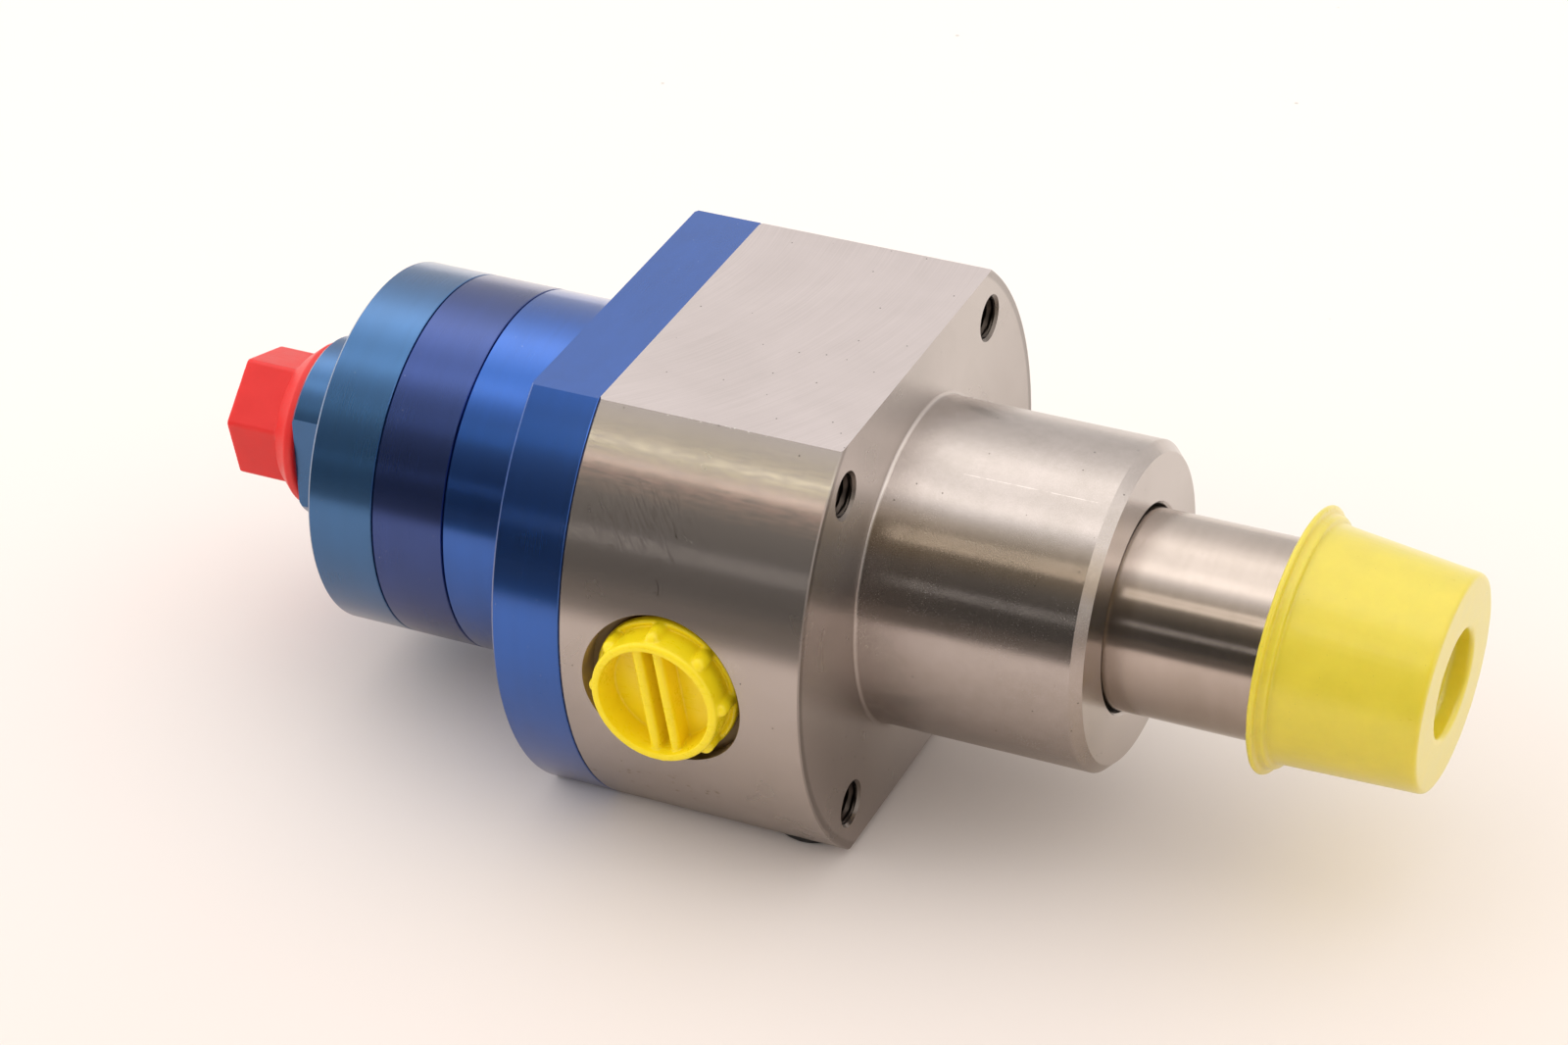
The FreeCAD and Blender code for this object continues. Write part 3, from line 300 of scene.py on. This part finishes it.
class Surface(Shader):
    """A material with a Principled shader and the coordinates of turned parts, in millimetres."""

    def __init__(self, name, **constants):
        self.material = bpy.data.materials.new(name)
        self.material.use_nodes = True
        super().__init__(self.material.node_tree)
        self.bsdf = self.tree.nodes["Principled BSDF"]
        for key, value in constants.items():
            self.bsdf.inputs[key.replace("_", " ")].default_value = value
        place = self.node("ShaderNodeTexCoord").outputs["Object"]
        self.mm = self.scale(place, 1000.0)
        self.x, self.y, self.z = self.split(self.mm)
        self.radius = self.length(self.y, self.z)
        self.around = self.over(self.y, self.larger(self.radius, 0.5))
        normal = self.split(self.node("ShaderNodeTexCoord").outputs["Normal"])
        self.facing_x = self.absolute(normal[0])
        self.normal_z = normal[2]

    def turned(self, fine, along):
        """Coordinates whose noise runs in fine rings round the X axis."""
        return self.combine(self.times(self.x, fine), self.times(self.radius, fine),
                            self.times(self.around, along))

    def set(self, name, value):
        self.put(self.bsdf.inputs[name], value)

    def brush_round(self, amount):
        """Highlights spread across the turning rings: along X on a cylinder, radially on an end
        face."""
        self.bsdf.inputs["Anisotropic"].default_value = amount
        self.bsdf.inputs["Anisotropic Rotation"].default_value = 0.25
        tangent = self.node("ShaderNodeTangent", direction_type="RADIAL", axis="X")
        self.set("Tangent", tangent.outputs[0])

    def toned(self, colour, tone):
        """A colour times one plus a tone, the blue a little more."""
        level = self.plus(1.0, tone)
        blue_level = self.plus(1.0, self.times(tone, 1.15))
        return self.mix(1.0, colour, self.combine(level, level, blue_level), "MULTIPLY")


def rgb(r, g, b):
    """Linear colour of an sRGB triple from 0 to 255."""
    def linear(v):
        v /= 255
        return v / 12.92 if v <= 0.04045 else ((v + 0.055) / 1.055) ** 2.4
    return (linear(r), linear(g), linear(b), 1.0)


def turned_metal(name, colour, rough, ring=0.2, brush=0.7, grain=0.03, coat=0.0, lint=0.0,
                 metal=1.0, coat_rough=0.22):
    """Turned or ground metal: fine rings, slow stains, small specks, and lint where asked."""
    s = Surface(name, Metallic=metal, Coat_Weight=coat, Coat_Roughness=coat_rough, Coat_IOR=1.5)
    rings = s.noise(s.turned(9.0, 5.0), 1.0, 3.0, 0.6)
    broad = s.noise(s.turned(0.7, 1.5), 1.0, 3.0, 0.5)
    stain = s.noise(s.mm, 0.09, 4.0, 0.6, 0.4)
    grit = s.noise(s.mm, 9.0, 2.0, 0.6)
    tone = s.plus(s.spread(rings, -grain, grain), s.spread(broad, -grain, grain),
                  s.fit(stain, 0.3, 0.75, 0.03, -0.07))
    base = s.toned(colour, tone)
    base = s.daub(base, METAL_SPECK, s.dots(s.mm, 0.75, 0.03, 0.06), 0.3)
    if lint:
        base = s.daub(base, LINT, s.dots(s.mm, 0.62, 0.022, 0.045, lint))
    s.set("Base Color", base)
    s.set("Roughness", s.plus(rough, s.plus(s.fit(rings, 0.25, 0.75, -0.02, 0.03),
                                            s.fit(stain, 0.3, 0.8, -0.02, 0.05))))
    s.set("Normal", s.bump(s.plus(rings, s.times(grit, 0.35)), ring, METAL_GRAIN))
    s.brush_round(brush)
    return s.material


def block_steel(name):
    """The block's steel. Its flats are milled in wide arcs, its sides and front face are turned,
    and the pilot is finely blasted. The side has a rubbed patch above the port and stains below."""
    s = Surface(name)
    flat = s.fit(s.absolute(s.normal_z), 0.97, 0.995)
    end = s.fit(s.facing_x, 0.75, 0.95)
    in_pilot = s.fit(s.radius, PILOT_RADIUS + 0.5, PILOT_RADIUS + 0.3)
    barrel = s.times(s.fit(s.x, 0.1, 0.5), in_pilot, s.minus(1.0, end))
    side = s.times(s.fit(s.radius, OUTLINE_RADIUS - 1.0, OUTLINE_RADIUS - 0.6),
                   s.minus(1.0, s.larger(flat, end)))
    angle = s.math("ARCTAN2", s.z, s.times(s.y, -1.0))
    angle_share = s.over(angle, math.radians(90))
    arc = s.times(angle, OUTLINE_RADIUS)
    pilot_arc = s.times(angle, PILOT_RADIUS)

    # Grain: turning rings, the cutter's wide arcs on the flats, the pilot's blasting. The flats are
    # also painted about half again lighter than the sides, as painted light.
    rings = s.noise(s.turned(9.0, 5.0), 1.0, 3.0, 0.6)
    across, along = s.minus(s.x, MILLING_CENTRE_X), s.minus(s.y, MILLING_CENTRE_Y)
    sweep = s.length(across, along)
    cutter = s.noise(s.combine(s.times(sweep, 4.5), s.times(s.over(along, across), 2.5),
                               s.times(s.normal_z, 9.0)), 1.0, 3.0, 0.6)
    passes = s.noise(s.combine(s.times(sweep, 0.45), s.times(s.y, 0.02), 0.0), 1.0, 2.0, 0.5)
    blast = s.noise(s.mm, 6.5, 3.0, 0.6)
    mottle = s.noise(s.mm, 0.55, 4.0, 0.65)
    grit = s.noise(s.mm, 9.0, 2.0, 0.6)
    stain = s.noise(s.mm, 0.075, 4.0, 0.6, 0.5)
    turned_tone = s.plus(s.spread(rings, -0.02, 0.02), s.spread(grit, -0.03, 0.03))
    # Cutter grain around a painted lightening of about one half: painted light on the flats
    flat_grain_and_painted_light = s.plus(s.spread(cutter, 0.44, 0.56), s.fit(passes, 0.35, 0.65, -0.012, 0.012))
    barrel_tone = s.plus(s.spread(blast, -0.06, 0.06), s.spread(mottle, -0.04, 0.04))
    tone = s.lerp(barrel, s.lerp(flat, turned_tone, flat_grain_and_painted_light), barrel_tone)
    base = s.toned((0.52, 0.473, 0.447, 1), s.plus(tone, s.fit(stain, 0.3, 0.75, 0.03, -0.06)))

    # Rubbed patch above the port
    away = s.squares(s.over(s.plus(s.x, 24.5), 8.5), s.over(s.minus(arc, 21.5), 5.0))
    patch = s.times(s.fit(away, 2.2, 0.0, smooth=True), side)
    slant = s.combine(s.plus(s.times(s.x, 2.4), s.times(arc, 1.5)),
                      s.times(s.minus(arc, s.x), 0.25), 0.0)
    worn = s.times(patch, s.fit(s.noise(slant, 1.0, 3.0, 0.7), 0.5, 0.66))
    base = s.daub(base, RUBBED, worn, 0.4)

    # Faint temper tints on the upper side, a green band over a pink one, which a painted highlight
    # also brightens
    patchy = s.noise(s.combine(s.times(s.x, 0.35), s.times(arc, 2.0), 0.0), 1.0, 3.0, 0.6)
    temper_and_painted_highlight = s.ramp(s.plus(angle_share, s.spread(patchy, -0.006, 0.006)), TEMPER_TINTS_AND_PAINTED_HIGHLIGHT)
    base = s.tint(base, temper_and_painted_highlight, s.times(side, s.fit(patchy, 0.3, 0.6, 0.4, 1.0)))

    # A painted olive shade band along the pilot, by the angle up its side, and one long faint
    # scratch
    base = s.tint(base, s.ramp(angle_share, PAINTED_OLIVE_SHADE_BAND), barrel)
    line = s.times(s.scratch(s.x, pilot_arc, (10.1, 27.1), (28.8, 27.2), 0.10), barrel)
    base = s.daub(base, PALE_SCRATCH, line, s.fit(mottle, 0.4, 0.55, 0.0, 0.3))

    # A small curved scratch and a pale scuff by the port
    bends = [(-21.3, 14.9), (-20.9, 14.3), (-20.75, 13.6), (-20.8, 12.9)]
    first, second, third = (s.scratch(s.x, arc, here, there, 0.11)
                            for here, there in zip(bends, bends[1:]))
    curl = s.larger(first, s.larger(second, third))
    base = s.daub(base, DARK_SCRATCH, curl, side, 0.6)
    near = s.squares(s.over(s.plus(s.x, 9.6), 1.7), s.over(s.minus(arc, 5.6), 1.4))
    scuff = s.times(s.fit(near, 1.0, 0.1), s.dots(s.mm, 3.2, 0.16, 0.3))
    base = s.daub(base, PALE_SCUFF, scuff, 0.5)

    # Brown stains below the port, dark specks anywhere
    low = s.times(s.fit(arc, -17.0, -20.0), s.fit(arc, -27.0, -24.0), side,
                  s.fit(s.x, -8.0, -12.0))
    drops = s.dots(s.combine(s.times(s.x, 0.55), s.times(arc, 0.8), 3.0), 1.0, 0.10, 0.22)
    base = s.daub(base, BROWN_STAIN, low, drops, 0.6)
    base = s.daub(base, DARK_SPECK, s.dots(s.mm, 0.4, 0.032, 0.055, 0.85))

    # The edge between flat and side has small bright burrs along its middle
    edge_line = s.fit(s.absolute(s.minus(arc, FLAT_EDGE_ARC)), 0.3, 0.15)
    edge_middle = s.fit(s.absolute(s.plus(s.x, 18.0)), 9.0, 5.0)
    outside = s.fit(s.radius, OUTLINE_RADIUS - 2.0, OUTLINE_RADIUS - 1.0)
    burrs = s.dots(s.mm, 2.1, 0.22, 0.3)
    base = s.daub(base, BURNISHED, edge_line, outside, edge_middle, burrs)

    # Oil and painted shade darken the front holes' countersinks, and painted shade darkens the
    # front face's outer chamfer
    hole = s.length(s.minus(s.absolute(s.y), HOLE_OFFSET), s.minus(s.absolute(s.z), HOLE_OFFSET))
    in_hole = s.fit(hole, COUNTERSINK_RADIUS + 0.3, COUNTERSINK_RADIUS + 0.1)
    base = s.daub(base, OIL_AND_PAINTED_SHADE, in_hole, s.fit(s.facing_x, 0.93, 0.85), 0.75)
    rim_shade = s.times(s.fit(s.radius, OUTLINE_RADIUS - 1.4, OUTLINE_RADIUS - 1.0),
                  s.fit(s.facing_x, 0.5, 0.65), s.fit(s.x, -2.0, -1.5))
    base = s.daub(base, PAINTED_RIM_SHADE, rim_shade, 0.4)

    # The port's spot face and its wall are painted olive: a painted reflection of the yellow plug,
    # with painted shade in the recess
    bore = s.length(s.minus(s.x, PORT_X), s.minus(s.z, PORT_Z))
    in_spot = s.times(s.fit(bore, SPOT_FACE_RADIUS + 0.08, SPOT_FACE_RADIUS + 0.02),
                      s.fit(s.y, -30.0, -31.0))
    base = s.daub(base, PAINTED_OLIVE_REFLECTION, in_spot, 0.85)
    s.set("Base Color", base)
    s.set("Metallic", s.lerp(side, 1.0, 0.93))

    rough = s.lerp(flat, 0.26, 0.36)
    rough = s.lerp(s.times(end, in_pilot), rough, 0.19)
    rough = s.lerp(barrel, rough, s.spread(blast, 0.23, 0.27))
    rough = s.lerp(in_spot, s.plus(rough, s.fit(stain, 0.3, 0.8, -0.015, 0.03)), 0.5)
    s.set("Roughness", s.plus(rough, s.times(worn, 0.01)))

    # Pipe thread in the side port's bore, below its spot face
    in_port = s.times(s.fit(bore, PORT_THREAD_RADIUS + 0.3, PORT_THREAD_RADIUS),
                      s.fit(s.y, -27.5, -28.5))
    turn = s.math("FRACT", s.over(s.y, PORT_THREAD_PITCH))
    turns = s.absolute(s.minus(turn, 0.5))
    height = s.lerp(flat, s.plus(rings, s.times(grit, 0.5)), s.times(cutter, 3.0))
    height = s.lerp(barrel, height, s.times(blast, 1.5))
    height = s.plus(height, s.times(in_port, turns, 60.0))
    height = s.minus(height, s.times(worn, 0.25))
    s.set("Normal", s.bump(height, 0.28, METAL_GRAIN))
    s.brush_round(1.0)
    return s.material


def plastic(name, colour, rough, deep=0.3, specks=0.5, coat=0.0):
    """Moulded plastic: faint mottling, fine grain, dark specks, scuffs and soft scattering."""
    s = Surface(name, IOR=1.5, Subsurface_Weight=deep, Subsurface_Scale=0.002, Coat_Weight=coat,
                Coat_Roughness=0.3, Coat_IOR=1.5)
    s.bsdf.inputs["Subsurface Radius"].default_value = (1.0, 0.7, 0.25)
    mottle = s.noise(s.mm, 0.25, 4.0, 0.6)
    fine = s.noise(s.mm, 5.0, 3.0, 0.6)
    scuff = s.noise(s.stretch(s.mm, (0.4, 2.5, 2.5)), 1.0, 4.0, 0.7)
    darker = tuple(c * 0.93 for c in colour[:3]) + (1,)
    base = s.mix(s.spread(mottle, 0.0, 1.0), darker, colour)
    s.set("Base Color", s.daub(base, PLASTIC_SPECK, s.dots(s.mm, 0.7, 0.035, 0.06), specks))
    s.set("Roughness", s.plus(rough, s.plus(s.spread(mottle, -0.04, 0.05),
                                            s.fit(scuff, 0.4, 0.7, -0.03, 0.05))))
    s.set("Normal", s.bump(s.plus(fine, s.times(mottle, 3.0)), 0.2, MOULDED_GRAIN))
    return s.material


def rubber(name, colour):
    """Moulded rubber with a faint bloom."""
    s = Surface(name, IOR=1.5)
    fine = s.noise(s.mm, 5.0, 4.0, 0.7)
    bloom = s.noise(s.mm, 0.5, 3.0, 0.5)
    paler = tuple(min(1.0, c + 0.03) for c in colour[:3]) + (1,)
    s.set("Base Color", s.mix(s.fit(bloom, 0.35, 0.75), colour, paler))
    s.set("Roughness", s.spread(fine, 0.45, 0.65))
    s.set("Normal", s.bump(fine, 0.3, MOULDED_GRAIN))
    return s.material


MATERIALS = {
    "block_steel": block_steel("steel_block"),
    "rotor_steel": turned_metal("steel_ground", (0.53, 0.465, 0.42, 1), 0.20, ring=0.10,
                                brush=0.85, grain=0.02),
    "blue_anodised": turned_metal("anodised_blue", (0.024, 0.12, 0.49, 1), 0.23, brush=0.8,
                                  coat=0.9, lint=0.5, metal=0.95, coat_rough=0.13),
    "navy_anodised": turned_metal("anodised_navy", (0.03, 0.068, 0.265, 1), 0.24, brush=0.75,
                                  coat=0.8, lint=0.6, metal=0.92),
    "teal_anodised": turned_metal("anodised_teal", (0.038, 0.15, 0.365, 1), 0.23, brush=0.75,
                                  coat=0.9, lint=0.5, metal=0.82),
    "bearing_steel": turned_metal("steel_bearing", (0.66, 0.64, 0.62, 1), 0.12, ring=0.05,
                                  brush=0.3),
    "shield_steel": turned_metal("steel_sheet", (0.54, 0.53, 0.52, 1), 0.28, brush=0.3),
    "cage_brass": turned_metal("brass", (0.74, 0.53, 0.24, 1), 0.25, brush=0.4),
    "bush_bronze": turned_metal("bronze", (0.60, 0.38, 0.20, 1), 0.3, brush=0.5),
    "spring_steel": turned_metal("steel_spring", (0.5, 0.48, 0.46, 1), 0.3, brush=0.2),
    "screw_black": turned_metal("steel_blackened", (0.05, 0.05, 0.055, 1), 0.35, brush=0.2),
    "seal_rubber": rubber("rubber_black", (0.02, 0.02, 0.021, 1)),
    "seal_carbide": turned_metal("carbide", (0.16, 0.16, 0.17, 1), 0.14, ring=0.05, brush=0.2),
    "plug_yellow": plastic("plastic_yellow", rgb(252, 227, 26), 0.30, deep=0.12),
    "cap_lemon": plastic("plastic_lemon", rgb(227, 210, 52), 0.34, deep=0.35, specks=0.25,
                         coat=1.0),
    "plug_red": plastic("plastic_red", rgb(230, 40, 38), 0.36, specks=0.3),
    "plug_black": plastic("plastic_black", (0.02, 0.02, 0.02, 1), 0.4, deep=0.0, specks=0.0),
}
# The thread turns are coloured dark steel: painted shade inside the front holes
THREAD_PAINTED_SHADE_STEEL = turned_metal("steel_thread_painted_shade", (0.085, 0.07, 0.06, 1), 0.42, brush=0.2)


def paint_cad_nodes():
    """Gives each node the procedural material of its own slot."""
    slots = {part["node"]: part["material_slot"] for part in frame["record"]["subparts"]}
    for name, node in frame["nodes"].items():
        node.data.materials.clear()
        node.data.materials.append(MATERIALS[slots[name]])


def add_object(name, data):
    piece = bpy.data.objects.new(name, data)
    bpy.context.scene.collection.objects.link(piece)
    return piece


def soften(node, slot, voxel, rounds, body):
    """A moulded piece from a node's own shape, with its edges and inner corners rounded.
    Voxel is in mm. The finer mesh stands for the node."""
    mesh = frame["nodes"][node].data.copy()
    mesh.transform(Matrix.Scale(1000.0, 4))
    mesh.materials.clear()
    piece = add_object(node + "_moulded", mesh)
    remesh = piece.modifiers.new("remesh", "REMESH")
    remesh.mode = "VOXEL"
    remesh.voxel_size = voxel
    remesh.use_smooth_shade = True
    smooth = piece.modifiers.new("smooth", "SMOOTH")
    smooth.factor = 0.5
    smooth.iterations = rounds
    evaluated = piece.evaluated_get(bpy.context.evaluated_depsgraph_get())
    final = bpy.data.meshes.new_from_object(evaluated)
    piece.modifiers.clear()
    final.transform(Matrix.Scale(0.001, 4))
    piece.data = final
    for polygon in final.polygons:
        polygon.use_smooth = True
    final.materials.append(MATERIALS[slot])
    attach(piece, body)
    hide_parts(node)


def screw_thread(name, hole_y, hole_z):
    """The turns of a tapped hole along X: a fine tube whose wall follows the helix."""
    steps = int(THREAD_DEPTH / THREAD_PITCH * THREAD_STEPS_PER_TURN)
    points, faces = [], []
    for i in range(steps + 1):
        x = THREAD_START_X - THREAD_DEPTH * i / steps
        for j in range(THREAD_SIDES):
            turn = j / THREAD_SIDES
            wave = abs(((x / THREAD_PITCH - turn) % 1.0) * 2 - 1)
            radius = THREAD_CREST_RADIUS + (THREAD_ROOT_RADIUS - THREAD_CREST_RADIUS) * wave
            angle = 2 * math.pi * turn
            points.append((x, hole_y + radius * math.cos(angle),
                           hole_z + radius * math.sin(angle)))
    for i in range(steps):
        here, ahead = i * THREAD_SIDES, (i + 1) * THREAD_SIDES
        for j in range(THREAD_SIDES):
            k = (j + 1) % THREAD_SIDES
            faces.append((here + j, ahead + j, ahead + k, here + k))
    mesh = bpy.data.meshes.new(name)
    mesh.from_pydata([tuple(c / 1000 for c in point) for point in points], [], faces)
    # Dark steel: painted shade inside the hole
    mesh.materials.append(THREAD_PAINTED_SHADE_STEEL)
    piece = add_object(name, mesh)
    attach(piece, "housing")


def make_threads():
    """Thread turns in the four front holes."""
    places = [(-1, 1), (1, 1), (-1, -1), (1, -1)]
    for number, (y_side, z_side) in enumerate(places, 1):
        screw_thread("flange_thread_%d" % number, y_side * HOLE_OFFSET, z_side * HOLE_OFFSET)


def table_material():
    """Pale matt table with a few crumbs, painted darker towards the near side, which polished steel
    sees darker still close to the part as painted shade.
    """
    material = bpy.data.materials.new("table_white")
    material.use_nodes = True
    s = Shader(material.node_tree)
    mm = s.scale(s.node("ShaderNodeTexCoord").outputs["Object"], 1000.0)
    x, y, _ = s.split(mm)
    # The table is painted darker towards the near side and lighter far off: painted shade for the
    # light falling off there
    share = s.fit(s.plus(s.times(x, -0.35), s.times(y, 0.9)), -160.0, 120.0, smooth=True)
    cloud = s.noise(mm, 0.006, 2.0, 0.5)
    near = s.mix(s.spread(cloud, 0.0, 1.0), rgb(238, 228, 222), rgb(241, 232, 228))
    base = s.mix(share, near, rgb(247, 243, 240))
    base = s.daub(base, CRUMB, s.dots(mm, 0.045, 0.012, 0.022, 0.35))
    # Painted shade: steel sees the table darker close to the part, and a painted dark room past its
    # edge
    painted_shade_near_part = s.ramp(s.fit(y, TABLE_NEAR_Y, TABLE_FAR_Y), TABLE_SHADE_IN_STEEL)
    past_edge = s.fit(y, TABLE_EDGE_Y, ROOM_Y, smooth=True)
    seen_with_painted_shade = s.daub(s.mix(1.0, base, painted_shade_near_part, "MULTIPLY"), PAINTED_ROOM_IN_STEEL, past_edge)
    bsdf = material.node_tree.nodes["Principled BSDF"]
    s.put(bsdf.inputs["Base Color"], s.mix(s.ray("Glossy"), base, seen_with_painted_shade))
    bsdf.inputs["Roughness"].default_value = 0.55
    bsdf.inputs["Specular IOR Level"].default_value = 0.2
    return material


def make_floor():
    """The table top under the part."""
    half = FLOOR_HALF_WIDTH
    mesh = bpy.data.meshes.new("table_top")
    corners = [(-half, -half, 0), (half, -half, 0), (half, half, 0), (-half, half, 0)]
    mesh.from_pydata(corners, [], [(0, 1, 2, 3)])
    mesh.materials.append(table_material())
    floor = add_object("table_top", mesh)
    floor.matrix_world = Matrix.Translation(FLOOR_AT) @ Matrix.Rotation(FLOOR_TILT, 4, "Y")


def warm(level, yellow=0.0):
    """A warm white of a level, more yellow if asked."""
    return (level, level * (0.955 - 0.12 * yellow), level * (0.915 - 0.3 * yellow))


def make_world():
    """A bright soft ceiling with a dark side behind the camera, so that the steel shows bands."""
    world = bpy.data.worlds.new("studio")
    bpy.context.scene.world = world
    world.use_nodes = True
    tree = world.node_tree
    tree.nodes.clear()
    s = Shader(tree)
    side, y, z = s.split(s.node("ShaderNodeTexCoord").outputs["Generated"])
    angle = s.math("ARCTAN2", z, s.times(y, -1.0))
    turn = s.fit(angle, -math.pi, math.pi)

    def band(levels):
        return s.ramp(turn, [((degrees + 180) / 360, warm(*look)) for degrees, *look in levels])

    def brighter(light, levels, share):
        return s.mix(share, light, s.mix(1.0, light, band(levels), "ADD"))

    light = s.mix(s.fit(side, *REAR_TO_FRONT, smooth=True), band(REAR), band(FRONT))
    light = brighter(light, LAMPS, s.window(side, *LAMPS_WINDOW))
    light = brighter(light, MIDDLE, s.window(side, *MIDDLE_WINDOW))
    slant = s.minus(angle, s.times(s.minus(side, TUBE_PIVOT), TUBE_SLOPE))
    for place in TUBE_ANGLES:
        off = s.absolute(s.minus(slant, math.radians(place)))
        light = s.daub(light, TUBE_COLOUR, s.fit(off, TUBE_CORE, TUBE_EDGE, 1.0, 0.0),
                       s.window(side, *TUBES_WINDOW))
    light = s.mix(s.fit(s.absolute(side), *OUT_TO_EDGE, smooth=True), light, band(EDGE))
    matt = s.mix(s.fit(side, *MATT_RIGHT_TO_LEFT, smooth=True), band(MATT_RIGHT), band(MATT_LEFT))
    light = s.mix(s.ray("Diffuse"), light, matt)

    studio = s.node("ShaderNodeBackground", {"Color": light})
    white = s.node("ShaderNodeBackground", {"Color": BACKDROP})
    inputs = {0: s.ray("Camera"), 1: studio.outputs[0], 2: white.outputs[0]}
    mixed = s.node("ShaderNodeMixShader", inputs)
    s.node("ShaderNodeOutputWorld", {"Surface": mixed.outputs[0]})


def make_camera():
    """The photograph's view: a long lens, from the front right and above."""
    right, up, back, shift = (Vector(v) for v in (VIEW_RIGHT, VIEW_UP, VIEW_BACK, VIEW_SHIFT))
    data = bpy.data.cameras.new("camera")
    data.sensor_width = SENSOR_WIDTH
    data.lens = FOCAL_IN_FRAME_WIDTHS * SENSOR_WIDTH
    data.clip_start, data.clip_end = 0.01, 50.0
    camera = add_object("camera", data)
    place = back * shift.z - right * shift.x + up * shift.y
    turn = Matrix((right, up, back)).transposed().to_4x4()
    camera.matrix_world = Matrix.Translation(place) @ turn
    bpy.context.scene.camera = camera


bpy.context.scene.view_settings.view_transform = "Standard"
paint_cad_nodes()
soften("port_plug", "plug_yellow", 0.13, 9, "side_plug")
soften("inlet_plug", "plug_red", 0.16, 12, "rear_plug")
soften("shaft_cap", "cap_lemon", 0.22, 8, "nose_cover")
make_threads()
make_floor()
make_world()
make_camera()
